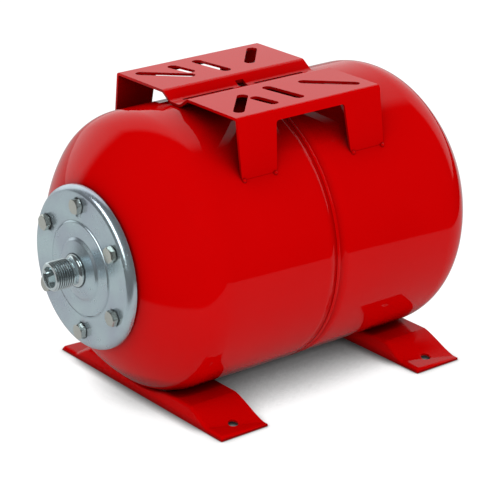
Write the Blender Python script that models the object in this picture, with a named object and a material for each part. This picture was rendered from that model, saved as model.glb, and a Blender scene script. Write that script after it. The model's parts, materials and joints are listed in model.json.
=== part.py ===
"""Horizontal bladder pressure tank with a pump bracket, modelled piece by piece.

Metres, +Z up.  The tank's axis lies along X with the flange cover at -X, and the feet
stand on z = 0.  Positions along X are measured from the girth seam; the empty "frame"
moves everything so that the origin lies under the middle of the object's box.
"""

import math

import bmesh
import bpy
import numpy as np

# --- shared clearances -------------------------------------------------------------
TOUCH_GAP = 0.0003          # between pieces that touch
SLIDE_GAP = 0.0004          # radial, between a moving piece and its guide
CUT_REACH = 0.0010          # how far a cutter runs past the face it goes through

# --- tank shell --------------------------------------------------------------------
TANK_RADIUS = 0.129         # outside
TANK_WALL = 0.0015
FRONT_STRAIGHT = 0.115      # seam to the front head's tangent line
REAR_STRAIGHT = 0.1315      # seam to the rear head's tangent line
KNUCKLE_RADIUS = 0.0426
CROWN_RADIUS = 0.1585
FLOOR_CLEARANCE = 0.00915   # under the tank's lowest line
SHELL_SEGMENTS = 48
SHARP_ANGLE = 35            # degrees between faces that shade as an edge
WELD_WIDTH = 0.0036
WELD_PROUD = 0.0007

# --- mouth and flange cover ----------------------------------------------------------
SEAT_RADIUS = 0.067         # where the front head is pressed flat
BOLT_CIRCLE_INSET = 0.008   # bolt circle inside the seat's edge
MOUTH_INSET = 0.013         # mouth's edge inside the bolt circle
RING_INSET = 0.0015         # mouth ring's edge inside the seat's edge
RING_THICKNESS = 0.004
COVER_OVERHANG = 0.008      # cover's rim beyond the seat's edge
COVER_SHEET = 0.0035
SHOULDER_INSIDE = 0.0015    # inside radius of the cover's turned-down shoulder
RIM_DEPTH = 0.0012          # how far the cover's rim reaches past the seat
BEAD_INSET = 0.002          # cover's groove inside the mouth's edge
BEAD_HALF_WIDTH = 0.0018
BEAD_DEPTH = 0.0012
DISC_RISE = 0.0008          # cover's middle disc beyond its bolt face
COVER_STEP_RADIUS = 0.0275
COVER_STEP = 0.0018
CONE_LIP = 0.0052           # cone's end beyond the nipple's neck, radially
CONE_CHAMFER = 0.0012
COVER_CONE_HEIGHT = 0.0045
CONE_THICKENING = 0.0006    # extra wall at the cone's inner end
BOLT_COUNT = 6
BOLT_RADIUS = 0.004
BOLT_LENGTH = 0.020
BOLT_CLEARANCE = 0.0006     # radial, in the cover, the seat and the ring
BOLT_HEAD_FLATS = 0.013
BOLT_HEAD_HEIGHT = 0.0055
NUT_HEIGHT = 0.0065

# --- bladder -------------------------------------------------------------------------
BLADDER_WALL = 0.002
BLADDER_RIM = 0.0032
BLADDER_RIM_WIDTH = 0.0065
BLADDER_NECK_GAP = 0.0025   # between its neck and the mouth
BLADDER_SIDE_GAP = 0.0395   # between its side and the tank's wall
BLADDER_END_GAP = 0.1044    # between its end and the rear head
BLADDER_CAP = 0.075         # length of the bladder's round end
BLADDER_NECK_LENGTH = 0.012
BLADDER_SHOULDER = 0.042    # length over which it widens from neck to body

# --- water connection ------------------------------------------------------------------
THREAD_RADIUS = 0.01322     # G 3/4 pipe thread, outside
THREAD_PITCH = 0.001814
THREAD_DEPTH = 0.00116
THREAD_LENGTH = 0.0190
NIPPLE_REACH = 0.0323       # from the cover's bolt face to the nipple's end
NECK_RELIEF = 0.00036       # neck below the thread's root
NIPPLE_WALL = 0.0016        # at the neck
NIPPLE_COLLAR = 0.003       # behind the cover
NIPPLE_FLARE = 0.0036       # radius of the sweep from its neck out over the cover
NIPPLE_FLARE_EDGE = 0.0008

# --- pump bracket ------------------------------------------------------------------------
BRACKET_SHEET = 0.0025
BRACKET_OFFSET = -0.0024    # bracket's middle from the girth seam
BRACKET_LENGTH = 0.1616
BRACKET_HALF_WIDTH = 0.0900
PLATFORM_RISE = 0.01065     # platforms above the tank's highest line
STRIP_HALF_WIDTH = 0.0068
SLOPE_RUN = 0.0085
SLOPE_FOOT = 0.0030         # run of the bend at the slope's upper end
STRIP_BEND = 0.0060
EDGE_BEND_INSIDE = 0.0007   # inside radius of the bend at the platform's edge
LEG_SPLAY = 0.0070          # how far a leg leans out over its height
LEG_OVERLAP = 0.0014        # leg's length past the tank's surface, before it is cut to it
LEG_TOP_WIDTH = 0.0423
LEG_FOOT_WIDTH = 0.0385
LEG_BAND = 0.0096           # height of the edge band above the window
WINDOW_REACH = 0.0100       # window cutter beyond the legs
BOLT_SLOT_WIDTH = 0.0100
# Slots at the bracket's ends: which end, which side, in from the end, in from the edge,
# whole length, angle from X in degrees.
END_SLOTS = (
    (-1, -1, 0.0293, 0.0327, 0.0540, 48),
    (1, -1, 0.0313, 0.0335, 0.0560, 135),
    (-1, 1, 0.0306, 0.0333, 0.0555, 135),
    (1, 1, 0.0314, 0.0323, 0.0530, 49),
)
# Slots near its middle: place along X, which side, in from the edge, whole length, angle.
MIDDLE_SLOTS = (
    (-0.0294, -1, 0.0275, 0.0300, 100),
    (-0.0010, -1, 0.0365, 0.0475, 98),
    (-0.0286, 1, 0.0284, 0.0310, 101),
    (0.0000, 1, 0.0363, 0.0475, 98),
)
STRIP_SLOT_START = 0.01145  # from the bracket's middle
STRIP_SLOT_END = 0.01185    # in from the bracket's end
STRIP_SLOT_WIDTH = 0.0030
STRIP_SLOT_Y = 0.0045
SEAM_RELIEF_WIDTH = 0.0090
SEAM_RELIEF_START = 0.0027
SEAM_RELIEF_END = 0.0122

# --- feet ----------------------------------------------------------------------------------
FOOT_SHEET = 0.0020
FOOT_WIDTH = 0.0515         # along X
FRONT_FOOT_INSET = 0.0102   # foot's middle in from the front head's tangent line
REAR_FOOT_INSET = 0.0055    # the same at the rear head
FOOT_HALF_LENGTH = 0.1269
FOOT_TOP = 0.0170
FALL_INSET = 0.0469         # in from the tip, where the top starts to fall to the pad
PAD_LENGTH_SKIRT = 0.0229
PAD_LENGTH_OPEN = 0.0059
PAD_HEIGHT_SKIRT = 0.0045
PAD_HEIGHT_OPEN = 0.0022
SKIRT_BEND_INSIDE = 0.0010
TIP_BEND = 0.0030
FALL_EASE = 0.4             # how much of the fall is eased at its ends
FOOT_HOLE_RADIUS = 0.0047
FOOT_HOLE_INSET = 0.0171    # in from the tip

# --- air valve on the rear head ---------------------------------------------------------------
VALVE_RADIUS = 0.0040
VALVE_BORE_RADIUS = 0.0022
VALVE_CHAMFER = 0.0006
VALVE_REACH = 0.0160        # stem beyond the rear head
VALVE_INSIDE = 0.0070
VALVE_COLLAR_STEP = 0.0040  # collar beyond the stem, radially
VALVE_COLLAR = 0.0020
VALVE_SEAL = 0.0015
VALVE_NUT_FLATS = 0.0130
VALVE_NUT_HEIGHT = 0.0045
CORE_LENGTH = 0.0080
CORE_RECESS = 0.0030        # core's outer end below the stem's end
AIR_HOLE_RADIUS = 0.0012    # through the step that the spring stands on
PIN_RADIUS = 0.0005
PIN_PROUD = 0.0020          # pin beyond the core's outer end
PIN_FOOT_RADIUS = 0.0017
PIN_FOOT = 0.0012
PIN_FOOT_GAP = 0.0060       # space behind the core in which the spring works
SPRING_WIRE_RADIUS = 0.00018
SPRING_RADIUS = 0.0014
SPRING_TURNS = 4
SPRING_STEPS = 12           # points in a turn
CAP_SIDE_WALL = 0.0031
CAP_WALL = 0.0014
CAP_GRIPS = 12
CAP_GRIP_DEPTH = 0.0005
CAP_EDGE = 0.0012
CAP_SEAL = 0.0012
CAP_SEAL_HOLE = 0.0015

# --- sizes worked out from the ones above --------------------------------------------------------
AXIS_HEIGHT = TANK_RADIUS + FLOOR_CLEARANCE
HEAD_ANGLE = math.asin((TANK_RADIUS - KNUCKLE_RADIUS) / (CROWN_RADIUS - KNUCKLE_RADIUS))
HEAD_DEPTH = CROWN_RADIUS - (CROWN_RADIUS - KNUCKLE_RADIUS) * math.cos(HEAD_ANGLE)
SEAT_DEPTH = HEAD_DEPTH - CROWN_RADIUS + math.sqrt(CROWN_RADIUS**2 - SEAT_RADIUS**2)
SEAT_X = -FRONT_STRAIGHT - SEAT_DEPTH
BOLT_CIRCLE_RADIUS = SEAT_RADIUS - BOLT_CIRCLE_INSET
BOLT_HOLE_RADIUS = BOLT_RADIUS + BOLT_CLEARANCE
MOUTH_RADIUS = BOLT_CIRCLE_RADIUS - MOUTH_INSET
RING_RADIUS = SEAT_RADIUS - RING_INSET
RING_BACK_X = SEAT_X + TANK_WALL + TOUCH_GAP + RING_THICKNESS
COVER_RADIUS = SEAT_RADIUS + COVER_OVERHANG
COVER_BACK_X = SEAT_X - TOUCH_GAP - BLADDER_RIM - TOUCH_GAP
COVER_FACE_X = COVER_BACK_X - COVER_SHEET
COVER_DISC_X = COVER_FACE_X - DISC_RISE
COVER_TIP_X = COVER_DISC_X - COVER_CONE_HEIGHT
COVER_SHOULDER = COVER_SHEET + SHOULDER_INSIDE
NIPPLE_NECK_RADIUS = THREAD_RADIUS - THREAD_DEPTH - NECK_RELIEF
NIPPLE_BORE_RADIUS = NIPPLE_NECK_RADIUS - NIPPLE_WALL
COVER_CONE_RADIUS = NIPPLE_NECK_RADIUS + CONE_LIP
INNER_CONE_RADIUS = COVER_CONE_RADIUS + CONE_THICKENING
NIPPLE_END_X = COVER_FACE_X - NIPPLE_REACH
REAR_APEX_X = REAR_STRAIGHT + HEAD_DEPTH
BLADDER_RADIUS = TANK_RADIUS - TANK_WALL - BLADDER_SIDE_GAP
PLATFORM_HEIGHT = AXIS_HEIGHT + TANK_RADIUS + PLATFORM_RISE
STRIP_TOP = AXIS_HEIGHT + TANK_RADIUS + TOUCH_GAP + BRACKET_SHEET
EDGE_BEND = BRACKET_SHEET + EDGE_BEND_INSIDE
LEG_Y = BRACKET_HALF_WIDTH + LEG_SPLAY
LEG_BOTTOM = AXIS_HEIGHT + math.sqrt(TANK_RADIUS**2 - LEG_Y**2) - LEG_OVERLAP
FRONT_FOOT_X = -FRONT_STRAIGHT + FRONT_FOOT_INSET
REAR_FOOT_X = REAR_STRAIGHT - REAR_FOOT_INSET
SKIRT_BEND = FOOT_SHEET + SKIRT_BEND_INSIDE
VALVE_COLLAR_RADIUS = VALVE_RADIUS + VALVE_COLLAR_STEP
VALVE_END_X = REAR_APEX_X + VALVE_REACH
VALVE_SEAT_X = REAR_APEX_X - CROWN_RADIUS + math.sqrt(
    (CROWN_RADIUS - TANK_WALL) ** 2 - VALVE_COLLAR_RADIUS**2
)
CAP_RADIUS = VALVE_RADIUS + SLIDE_GAP + CAP_SIDE_WALL
CAP_MOUTH_X = REAR_APEX_X + VALVE_NUT_HEIGHT + 2 * TOUCH_GAP
CAP_END_X = VALVE_END_X + TOUCH_GAP + CAP_SEAL + TOUCH_GAP + CAP_WALL
FRAME_SHIFT = -(NIPPLE_END_X + CAP_END_X) / 2


# --- mesh helpers --------------------------------------------------------------------
def clear_scene():
    for obj in list(bpy.data.objects):
        bpy.data.objects.remove(obj)


def add_frame():
    """The empty that carries every piece."""
    frame = bpy.data.objects.new("frame", None)
    frame.location = (FRAME_SHIFT, 0, 0)
    bpy.context.collection.objects.link(frame)
    return frame


def material(name, colour, roughness, metallic):
    mat = bpy.data.materials.new(name)
    mat.use_nodes = True
    shader = mat.node_tree.nodes["Principled BSDF"]
    shader.inputs["Base Color"].default_value = (*colour, 1)
    shader.inputs["Roughness"].default_value = roughness
    shader.inputs["Metallic"].default_value = metallic
    return mat


def add_object(name, mesh, mat, location=(0, 0, 0), parent=None):
    obj = bpy.data.objects.new(name, mesh)
    obj.location = location
    obj.parent = parent or bpy.data.objects["frame"]
    if mat:
        mesh.materials.append(mat)
    bpy.context.collection.objects.link(obj)
    return obj


def mesh_from(name, build):
    """A mesh filled by build(bm), with its faces turned outwards and rounds shaded smooth."""
    bm = bmesh.new()
    build(bm)
    bmesh.ops.recalc_face_normals(bm, faces=bm.faces)
    mesh = bpy.data.meshes.new(name)
    bm.to_mesh(mesh)
    bm.free()
    mesh.shade_smooth()
    mesh.set_sharp_from_angle(angle=math.radians(SHARP_ANGLE))
    return mesh


def loft(bm, sections):
    """Joins rings of equally many points, with a cap on the first and on the last."""
    rings = [[bm.verts.new(p) for p in section] for section in sections]
    count = len(rings[0])
    for a, b in zip(rings, rings[1:]):
        for i in range(count):
            j = (i + 1) % count
            bm.faces.new((a[i], a[j], b[j], b[i]))
    bm.faces.new(rings[0])
    bm.faces.new(reversed(rings[-1]))


def turned(name, outline, segments, grip=None):
    """A closed outline of (x, radius) points turned about X.  A radius of 0 is a pole.

    grip(angle, radius) may change the radius of each point as it goes round.
    """

    def build(bm):
        rings = []
        for x, radius in outline:
            if radius == 0:
                rings.append([bm.verts.new((x, 0, 0))])
                continue
            ring = []
            for k in range(segments):
                angle = 2 * math.pi * (k + 0.5) / segments
                r = grip(angle, radius) if grip else radius
                ring.append(bm.verts.new((x, r * math.cos(angle), r * math.sin(angle))))
            rings.append(ring)
        for a, b in zip(rings, rings[1:] + rings[:1]):
            if len(a) == 1 and len(b) == 1:
                continue
            for k in range(segments):
                n = (k + 1) % segments
                if len(a) == 1:
                    bm.faces.new((a[0], b[n], b[k]))
                elif len(b) == 1:
                    bm.faces.new((a[k], a[n], b[0]))
                else:
                    bm.faces.new((a[k], a[n], b[n], b[k]))

    return mesh_from(name, build)


def prism(name, outline, axis, start, end):
    """A flat outline pushed out along one axis, from start to end."""
    place = {
        "x": lambda a, b, along: (along, a, b),
        "y": lambda a, b, along: (a, along, b),
        "z": lambda a, b, along: (a, b, along),
    }[axis]
    return mesh_from(
        name,
        lambda bm: loft(bm, [[place(a, b, s) for a, b in outline] for s in (start, end)]),
    )


def arc(centre, radius, start, end, steps):
    """Points of an arc, angles in radians from the first axis."""
    angles = np.linspace(start, end, steps + 1)
    return [(centre[0] + radius * math.cos(a), centre[1] + radius * math.sin(a)) for a in angles]


def circle(centre, radius, steps):
    return arc(centre, radius, 0, 2 * math.pi, steps)[:-1]


def hexagon(flats):
    radius = flats / math.sqrt(3)
    return circle((0, 0), radius, 6)


def rounded_path(points, radius_of, steps=5):
    """The path with each inner corner i replaced by an arc of radius_of[i]."""
    path = [points[0]]
    for i in range(1, len(points) - 1):
        corner = np.array(points[i])
        back = np.array(points[i - 1]) - corner
        ahead = np.array(points[i + 1]) - corner
        back, ahead = back / np.linalg.norm(back), ahead / np.linalg.norm(ahead)
        half = math.acos(np.clip(back @ ahead, -1, 1)) / 2
        radius = radius_of[i]
        centre = corner + (back + ahead) / np.linalg.norm(back + ahead) * radius / math.sin(half)
        first = corner + back * radius / math.tan(half) - centre
        last = corner + ahead * radius / math.tan(half) - centre
        turn = math.atan2(first[0] * last[1] - first[1] * last[0], first @ last)
        for k in range(steps + 1):
            a = turn * k / steps
            path.append(
                (
                    centre[0] + first[0] * math.cos(a) - first[1] * math.sin(a),
                    centre[1] + first[0] * math.sin(a) + first[1] * math.cos(a),
                )
            )
    path.append(points[-1])
    return path


def sheet_outline(path, thickness):
    """The path and its copy one thickness to its right, as one closed outline."""
    points = np.array(path)
    steps = np.diff(points, axis=0)
    steps /= np.linalg.norm(steps, axis=1)[:, None]
    right = np.stack([steps[:, 1], -steps[:, 0]], axis=1)
    before, after = np.vstack([right[:1], right]), np.vstack([right, right[-1:]])
    mitre = (before + after) / (1 + (before * after).sum(axis=1))[:, None]
    inner = points + mitre * thickness
    return [tuple(p) for p in points] + [tuple(p) for p in inner[::-1]]


def cutter(name, mesh, location=(0, 0, 0), parent=None):
    obj = add_object(name, mesh, None, location, parent)
    obj.hide_render = True
    obj.display_type = "WIRE"
    return obj


def cut(obj, tool):
    change = obj.modifiers.new(tool.name, "BOOLEAN")
    change.operation = "DIFFERENCE"
    change.solver = "EXACT"
    change.object = tool


# --- tank ------------------------------------------------------------------------------
def head_outline(inset, knuckle_steps=5, crown_steps=5, stop_radius=0.0):
    """(distance past the tangent line, radius) of a head, from the tangent line inwards."""
    knuckle, crown = KNUCKLE_RADIUS - inset, CROWN_RADIUS - inset
    points = [
        (knuckle * math.sin(a), TANK_RADIUS - KNUCKLE_RADIUS + knuckle * math.cos(a))
        for a in np.linspace(0, math.pi / 2 - HEAD_ANGLE, knuckle_steps + 1)
    ]
    last = math.asin(stop_radius / crown)
    points += [
        (HEAD_DEPTH - CROWN_RADIUS + crown * math.cos(a), crown * math.sin(a))
        for a in np.linspace(HEAD_ANGLE, last, crown_steps + 1)[1:]
    ]
    if stop_radius == 0:
        points[-1] = (points[-1][0], 0.0)
    return points


def tank_radius_at(x):
    """Outside radius of the tank's heads and cylinder at x, without the flat seat."""
    past = max(x - REAR_STRAIGHT, -FRONT_STRAIGHT - x, 0)
    knuckle_end = KNUCKLE_RADIUS * math.cos(HEAD_ANGLE)
    if past <= knuckle_end:
        return TANK_RADIUS - KNUCKLE_RADIUS + math.sqrt(KNUCKLE_RADIUS**2 - past**2)
    return math.sqrt(max(CROWN_RADIUS**2 - (past + CROWN_RADIUS - HEAD_DEPTH) ** 2, 0))


def tank_underside(x, y):
    """Height of the tank's lower surface over the floor."""
    return AXIS_HEIGHT - math.sqrt(max(tank_radius_at(x) ** 2 - y**2, 0))


def front_shell(paint):
    edge = -WELD_WIDTH / 2 - TOUCH_GAP
    outer = head_outline(0, crown_steps=3, stop_radius=SEAT_RADIUS)
    inner = head_outline(TANK_WALL, crown_steps=3, stop_radius=SEAT_RADIUS - TANK_WALL / 2)
    outline = [(edge, TANK_RADIUS)]
    outline += [(-FRONT_STRAIGHT - x, r) for x, r in outer]
    outline += [(SEAT_X, MOUTH_RADIUS), (SEAT_X + TANK_WALL, MOUTH_RADIUS)]
    outline += [(SEAT_X + TANK_WALL, inner[-1][1])]
    outline += [(-FRONT_STRAIGHT - x, r) for x, r in reversed(inner[:-1])]
    outline += [(edge, TANK_RADIUS - TANK_WALL)]
    mesh = turned("front_shell", outline, SHELL_SEGMENTS)
    shell = add_object("front_shell", mesh, paint, (0, 0, AXIS_HEIGHT))
    for place in bolt_places():
        cut(shell, bolt_hole_cutter("shell_hole", SEAT_X, SEAT_X + TANK_WALL, place))


def rear_shell(paint):
    edge = WELD_WIDTH / 2 + TOUCH_GAP
    hole = VALVE_RADIUS + TOUCH_GAP
    outer = head_outline(0, stop_radius=hole)
    inner = head_outline(TANK_WALL, stop_radius=hole)
    outline = [(edge, TANK_RADIUS)]
    outline += [(REAR_STRAIGHT + x, r) for x, r in outer]
    outline += [(REAR_STRAIGHT + x, r) for x, r in reversed(inner)]
    outline += [(edge, TANK_RADIUS - TANK_WALL)]
    mesh = turned("rear_shell", outline, SHELL_SEGMENTS)
    add_object("rear_shell", mesh, paint, (0, 0, AXIS_HEIGHT))


def girth_weld(paint):
    half = WELD_WIDTH / 2
    inner, outer = TANK_RADIUS - TANK_WALL, TANK_RADIUS + WELD_PROUD
    outline = [(-half, inner), (half, inner), (half, TANK_RADIUS), (half / 2, outer)]
    outline += [(-half / 2, outer), (-half, TANK_RADIUS)]
    mesh = turned("girth_weld", outline, SHELL_SEGMENTS)
    add_object("girth_weld", mesh, paint, (0, 0, AXIS_HEIGHT))


# --- mouth and flange cover ---------------------------------------------------------------
def bolt_places():
    """(y, z) of each cover bolt from the tank's axis: one at the top, one at the bottom."""
    turn = 2 * math.pi / BOLT_COUNT
    return [
        (BOLT_CIRCLE_RADIUS * math.cos(a), BOLT_CIRCLE_RADIUS * math.sin(a))
        for a in (math.pi / 2 + turn * k for k in range(BOLT_COUNT))
    ]


def bolt_hole_cutter(name, start, end, place):
    mesh = prism(name, circle((0, 0), BOLT_HOLE_RADIUS, 14), "x", start - CUT_REACH, end + CUT_REACH)
    return cutter(name, mesh, (0, place[0], AXIS_HEIGHT + place[1]))


def mouth_ring(steel):
    """The ring welded inside the mouth, which the weld nuts are fixed to."""
    front = SEAT_X + TANK_WALL + TOUCH_GAP
    outline = [(front, MOUTH_RADIUS), (front, RING_RADIUS)]
    outline += [(RING_BACK_X, RING_RADIUS), (RING_BACK_X, MOUTH_RADIUS)]
    mesh = turned("mouth_ring", outline, SHELL_SEGMENTS)
    ring = add_object("mouth_ring", mesh, steel, (0, 0, AXIS_HEIGHT))
    for place in bolt_places():
        cut(ring, bolt_hole_cutter("ring_hole", front, RING_BACK_X, place))


def weld_nuts(steel):
    outer = hexagon(BOLT_HEAD_FLATS)
    hole = circle((0, 0), BOLT_RADIUS + TOUCH_GAP, 16)
    start, end = RING_BACK_X + TOUCH_GAP, RING_BACK_X + TOUCH_GAP + NUT_HEIGHT
    for k, (y, z) in enumerate(bolt_places(), 1):
        nut = add_object(
            f"weld_nut_{k}",
            prism("weld_nut", outer, "x", start, end),
            steel,
            (0, y, AXIS_HEIGHT + z),
        )
        bore = prism("nut_bore", hole, "x", start - CUT_REACH, end + CUT_REACH)
        cut(nut, cutter("nut_bore", bore, (0, y, AXIS_HEIGHT + z)))


def cover_outline():
    """(x, radius) of the pressed cover, outer face first, from the rim to the neck hole."""
    face, disc, tip = COVER_FACE_X, COVER_DISC_X, COVER_TIP_X
    rim_x = SEAT_X + RIM_DEPTH
    bend_centre = (face + COVER_SHOULDER, COVER_RADIUS - COVER_SHOULDER)
    bead = MOUTH_RADIUS - BEAD_INSET
    hole = NIPPLE_NECK_RADIUS + TOUCH_GAP
    outer = [(rim_x, COVER_RADIUS)] + arc(bend_centre, COVER_SHOULDER, math.pi / 2, math.pi, 3)
    outer += [(face, bead + BEAD_HALF_WIDTH), (face + BEAD_DEPTH, bead)]
    outer += [(disc, bead - BEAD_HALF_WIDTH), (disc, COVER_STEP_RADIUS + CONE_CHAMFER)]
    outer += [(disc - COVER_STEP, COVER_STEP_RADIUS), (tip + CONE_CHAMFER, COVER_CONE_RADIUS)]
    outer += [(tip, COVER_CONE_RADIUS - CONE_CHAMFER), (tip, hole)]
    inner = [(tip + COVER_SHEET, hole), (tip + COVER_SHEET, INNER_CONE_RADIUS)]
    inner += [(COVER_BACK_X - DISC_RISE, COVER_STEP_RADIUS - COVER_STEP)]
    inner += [(COVER_BACK_X, bead + CONE_THICKENING)]
    inner += arc(bend_centre, SHOULDER_INSIDE, math.pi, math.pi / 2, 2)
    inner += [(rim_x, COVER_RADIUS - COVER_SHEET)]
    return outer + inner


def flange_cover(zinc):
    mesh = turned("flange_cover", cover_outline(), SHELL_SEGMENTS)
    cover = add_object("flange_cover", mesh, zinc, (0, 0, AXIS_HEIGHT))
    for place in bolt_places():
        cut(cover, bolt_hole_cutter("cover_hole", COVER_FACE_X, COVER_BACK_X, place))


def cover_bolts(zinc):
    """Hexagon bolts through the cover, the seat and the ring, into the weld nuts."""
    head_x = COVER_FACE_X - TOUCH_GAP
    corners = hexagon(BOLT_HEAD_FLATS)
    head = []
    for a, b in zip(corners, corners[1:] + corners[:1]):
        head += [a, ((a[0] + b[0]) / 2, (a[1] + b[1]) / 2)]
    shank = circle((0, 0), BOLT_RADIUS, len(head))
    rings = [(head_x - BOLT_HEAD_HEIGHT, head), (head_x, head)]
    rings += [(head_x, shank), (head_x + BOLT_LENGTH, shank)]
    sections = [[(x, y, z) for y, z in ring] for x, ring in rings]
    for k, (y, z) in enumerate(bolt_places(), 1):
        mesh = mesh_from("cover_bolt", lambda bm: loft(bm, sections))
        add_object(f"cover_bolt_{k}", mesh, zinc, (0, y, AXIS_HEIGHT + z))


def bladder(rubber):
    """The bag: its rim clamped under the cover, its neck through the mouth, its end free."""
    rim_front = COVER_BACK_X + TOUCH_GAP
    rim_back = rim_front + BLADDER_RIM
    neck = MOUTH_RADIUS - BLADDER_NECK_GAP
    neck_end = RING_BACK_X + NUT_HEIGHT
    shoulder = neck_end + BLADDER_NECK_LENGTH
    end = REAR_APEX_X - BLADDER_END_GAP

    def bag(inset):
        """The bag's side from the neck to the pole; the shoulder is an S-shaped widening."""
        points = [(neck_end, neck - inset)]
        for share in (0.1, 0.5, 1.0):
            swell = share * share * (3 - 2 * share)
            radius = neck + (BLADDER_RADIUS - neck) * swell - inset
            points.append((shoulder + BLADDER_SHOULDER * share, radius))
        last = math.asin(inset / BLADDER_RADIUS)
        for a in np.linspace(0, math.pi / 2 - last, 6)[:-1]:
            x = end - BLADDER_CAP + (BLADDER_CAP - inset) * math.sin(a)
            points.append((x, (BLADDER_RADIUS - inset) * math.cos(a)))
        return points + [(end - inset, 0.0)]

    rim = MOUTH_RADIUS + BLADDER_RIM_WIDTH
    outline = [(rim_front, neck - BLADDER_WALL), (rim_front, rim), (rim_back, rim), (rim_back, neck)]
    outline += bag(0) + bag(BLADDER_WALL)[::-1]
    mesh = turned("bladder", outline, 32)
    add_object("bladder", mesh, rubber, (0, 0, AXIS_HEIGHT))


def nipple(zinc):
    """The water connection: a threaded tube, flared over the cover, with a collar behind it."""
    root, bore = THREAD_RADIUS - THREAD_DEPTH, NIPPLE_BORE_RADIUS
    outline = [(NIPPLE_END_X, bore), (NIPPLE_END_X, root)]
    for k in range(int(THREAD_LENGTH / THREAD_PITCH)):
        start = NIPPLE_END_X + THREAD_PITCH * k
        outline += [(start + THREAD_PITCH / 2, THREAD_RADIUS), (start + THREAD_PITCH, root)]
    flare_back = COVER_TIP_X - TOUCH_GAP
    flare_front = flare_back - NIPPLE_FLARE_EDGE
    sweep_centre = (flare_front - NIPPLE_FLARE, NIPPLE_NECK_RADIUS + NIPPLE_FLARE)
    collar_front = COVER_TIP_X + COVER_SHEET + TOUCH_GAP
    collar_back = collar_front + NIPPLE_COLLAR
    collar_radius = INNER_CONE_RADIUS - TOUCH_GAP
    outline += [(NIPPLE_END_X + THREAD_LENGTH + NECK_RELIEF, NIPPLE_NECK_RADIUS)]
    outline += arc(sweep_centre, NIPPLE_FLARE, -math.pi / 2, 0, 4)
    outline += [(flare_back, NIPPLE_NECK_RADIUS + NIPPLE_FLARE), (flare_back, NIPPLE_NECK_RADIUS)]
    outline += [(collar_front, NIPPLE_NECK_RADIUS), (collar_front, collar_radius)]
    outline += [(collar_back, collar_radius), (collar_back, bore)]
    mesh = turned("nipple", outline, 28)
    add_object("nipple", mesh, zinc, (0, 0, AXIS_HEIGHT))


# --- pump bracket -------------------------------------------------------------------------
def bracket_path():
    """The bracket's top surface across the tank, from the far leg's foot to the near one's."""
    side = [
        (LEG_Y, LEG_BOTTOM),
        (BRACKET_HALF_WIDTH, PLATFORM_HEIGHT),
        (STRIP_HALF_WIDTH + SLOPE_RUN + SLOPE_FOOT, PLATFORM_HEIGHT),
        (STRIP_HALF_WIDTH, STRIP_TOP),
    ]
    radii = [0, EDGE_BEND, STRIP_BEND, STRIP_BEND]
    points = [(-y, z) for y, z in side] + side[::-1]
    return rounded_path(points, radii + radii[::-1])


def slot_cutter(name, place, length, width, angle, bottom, top):
    """A slot with round ends, cut straight down."""
    half = length / 2 - width / 2
    outline = arc((half, 0), width / 2, -math.pi / 2, math.pi / 2, 6)
    outline += arc((-half, 0), width / 2, math.pi / 2, 3 * math.pi / 2, 6)
    turn = math.radians(angle)
    c, s = math.cos(turn), math.sin(turn)
    outline = [(x * c - y * s + place[0], x * s + y * c + place[1]) for x, y in outline]
    return cutter(name, prism(name, outline, "z", bottom, top), (BRACKET_OFFSET, 0, 0))


def leg_window_cutter():
    """One trapezoid through both edges leaves two legs on each side."""
    top = PLATFORM_HEIGHT - LEG_BAND
    low = LEG_BOTTOM - WINDOW_REACH
    half_top = BRACKET_LENGTH / 2 - LEG_TOP_WIDTH
    half_low = half_top + (LEG_TOP_WIDTH - LEG_FOOT_WIDTH) * (top - low) / (top - LEG_BOTTOM)
    outline = [(-half_low, low), (half_low, low), (half_top, top), (-half_top, top)]
    reach = LEG_Y + WINDOW_REACH
    mesh = prism("leg_window", outline, "y", -reach, reach)
    return cutter("leg_window", mesh, (BRACKET_OFFSET, 0, 0))


def tank_clearance_cutter():
    """The tank's cylinder, a little larger, so that each leg ends on its surface."""
    outline = [
        (-BRACKET_LENGTH, 0), (-BRACKET_LENGTH, TANK_RADIUS + TOUCH_GAP),
        (BRACKET_LENGTH, TANK_RADIUS + TOUCH_GAP), (BRACKET_LENGTH, 0),
    ]
    mesh = turned("tank_clearance", outline, SHELL_SEGMENTS)
    return cutter("tank_clearance", mesh, (0, 0, AXIS_HEIGHT))


def bolt_slots():
    """(x, y), length and angle of each bolt slot, from the bracket's middle."""
    half = BRACKET_LENGTH / 2
    slots = [
        ((end * (half - in_x), side * (BRACKET_HALF_WIDTH - in_y)), length, angle)
        for end, side, in_x, in_y, length, angle in END_SLOTS
    ]
    slots += [
        ((x, side * (BRACKET_HALF_WIDTH - in_y)), length, angle)
        for x, side, in_y, length, angle in MIDDLE_SLOTS
    ]
    return slots


def pump_bracket(paint):
    half = BRACKET_LENGTH / 2
    outline = sheet_outline(bracket_path(), BRACKET_SHEET)
    mesh = prism("pump_bracket", outline, "x", -half, half)
    bracket = add_object("pump_bracket", mesh, paint, (BRACKET_OFFSET, 0, 0))
    low, high = PLATFORM_HEIGHT - 2 * BRACKET_SHEET, PLATFORM_HEIGHT + BRACKET_SHEET
    for place, length, angle in bolt_slots():
        cut(bracket, slot_cutter("bolt_slot", place, length, BOLT_SLOT_WIDTH, angle, low, high))
    low = STRIP_TOP - 2 * BRACKET_SHEET
    length = half - STRIP_SLOT_START - STRIP_SLOT_END
    for end in (-1, 1):
        place = (end * (STRIP_SLOT_START + length / 2), STRIP_SLOT_Y)
        cut(bracket, slot_cutter("strip_slot", place, length, STRIP_SLOT_WIDTH, 0, low, high))
    half_relief = SEAM_RELIEF_WIDTH / 2
    relief = [(-half_relief, SEAM_RELIEF_START), (half_relief, SEAM_RELIEF_START),
              (half_relief, SEAM_RELIEF_END), (-half_relief, SEAM_RELIEF_END)]
    mesh = prism("seam_relief", relief, "z", low, high)
    cut(bracket, cutter("seam_relief", mesh, (BRACKET_OFFSET, 0, 0)))
    cut(bracket, leg_window_cutter())
    cut(bracket, tank_clearance_cutter())


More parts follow.
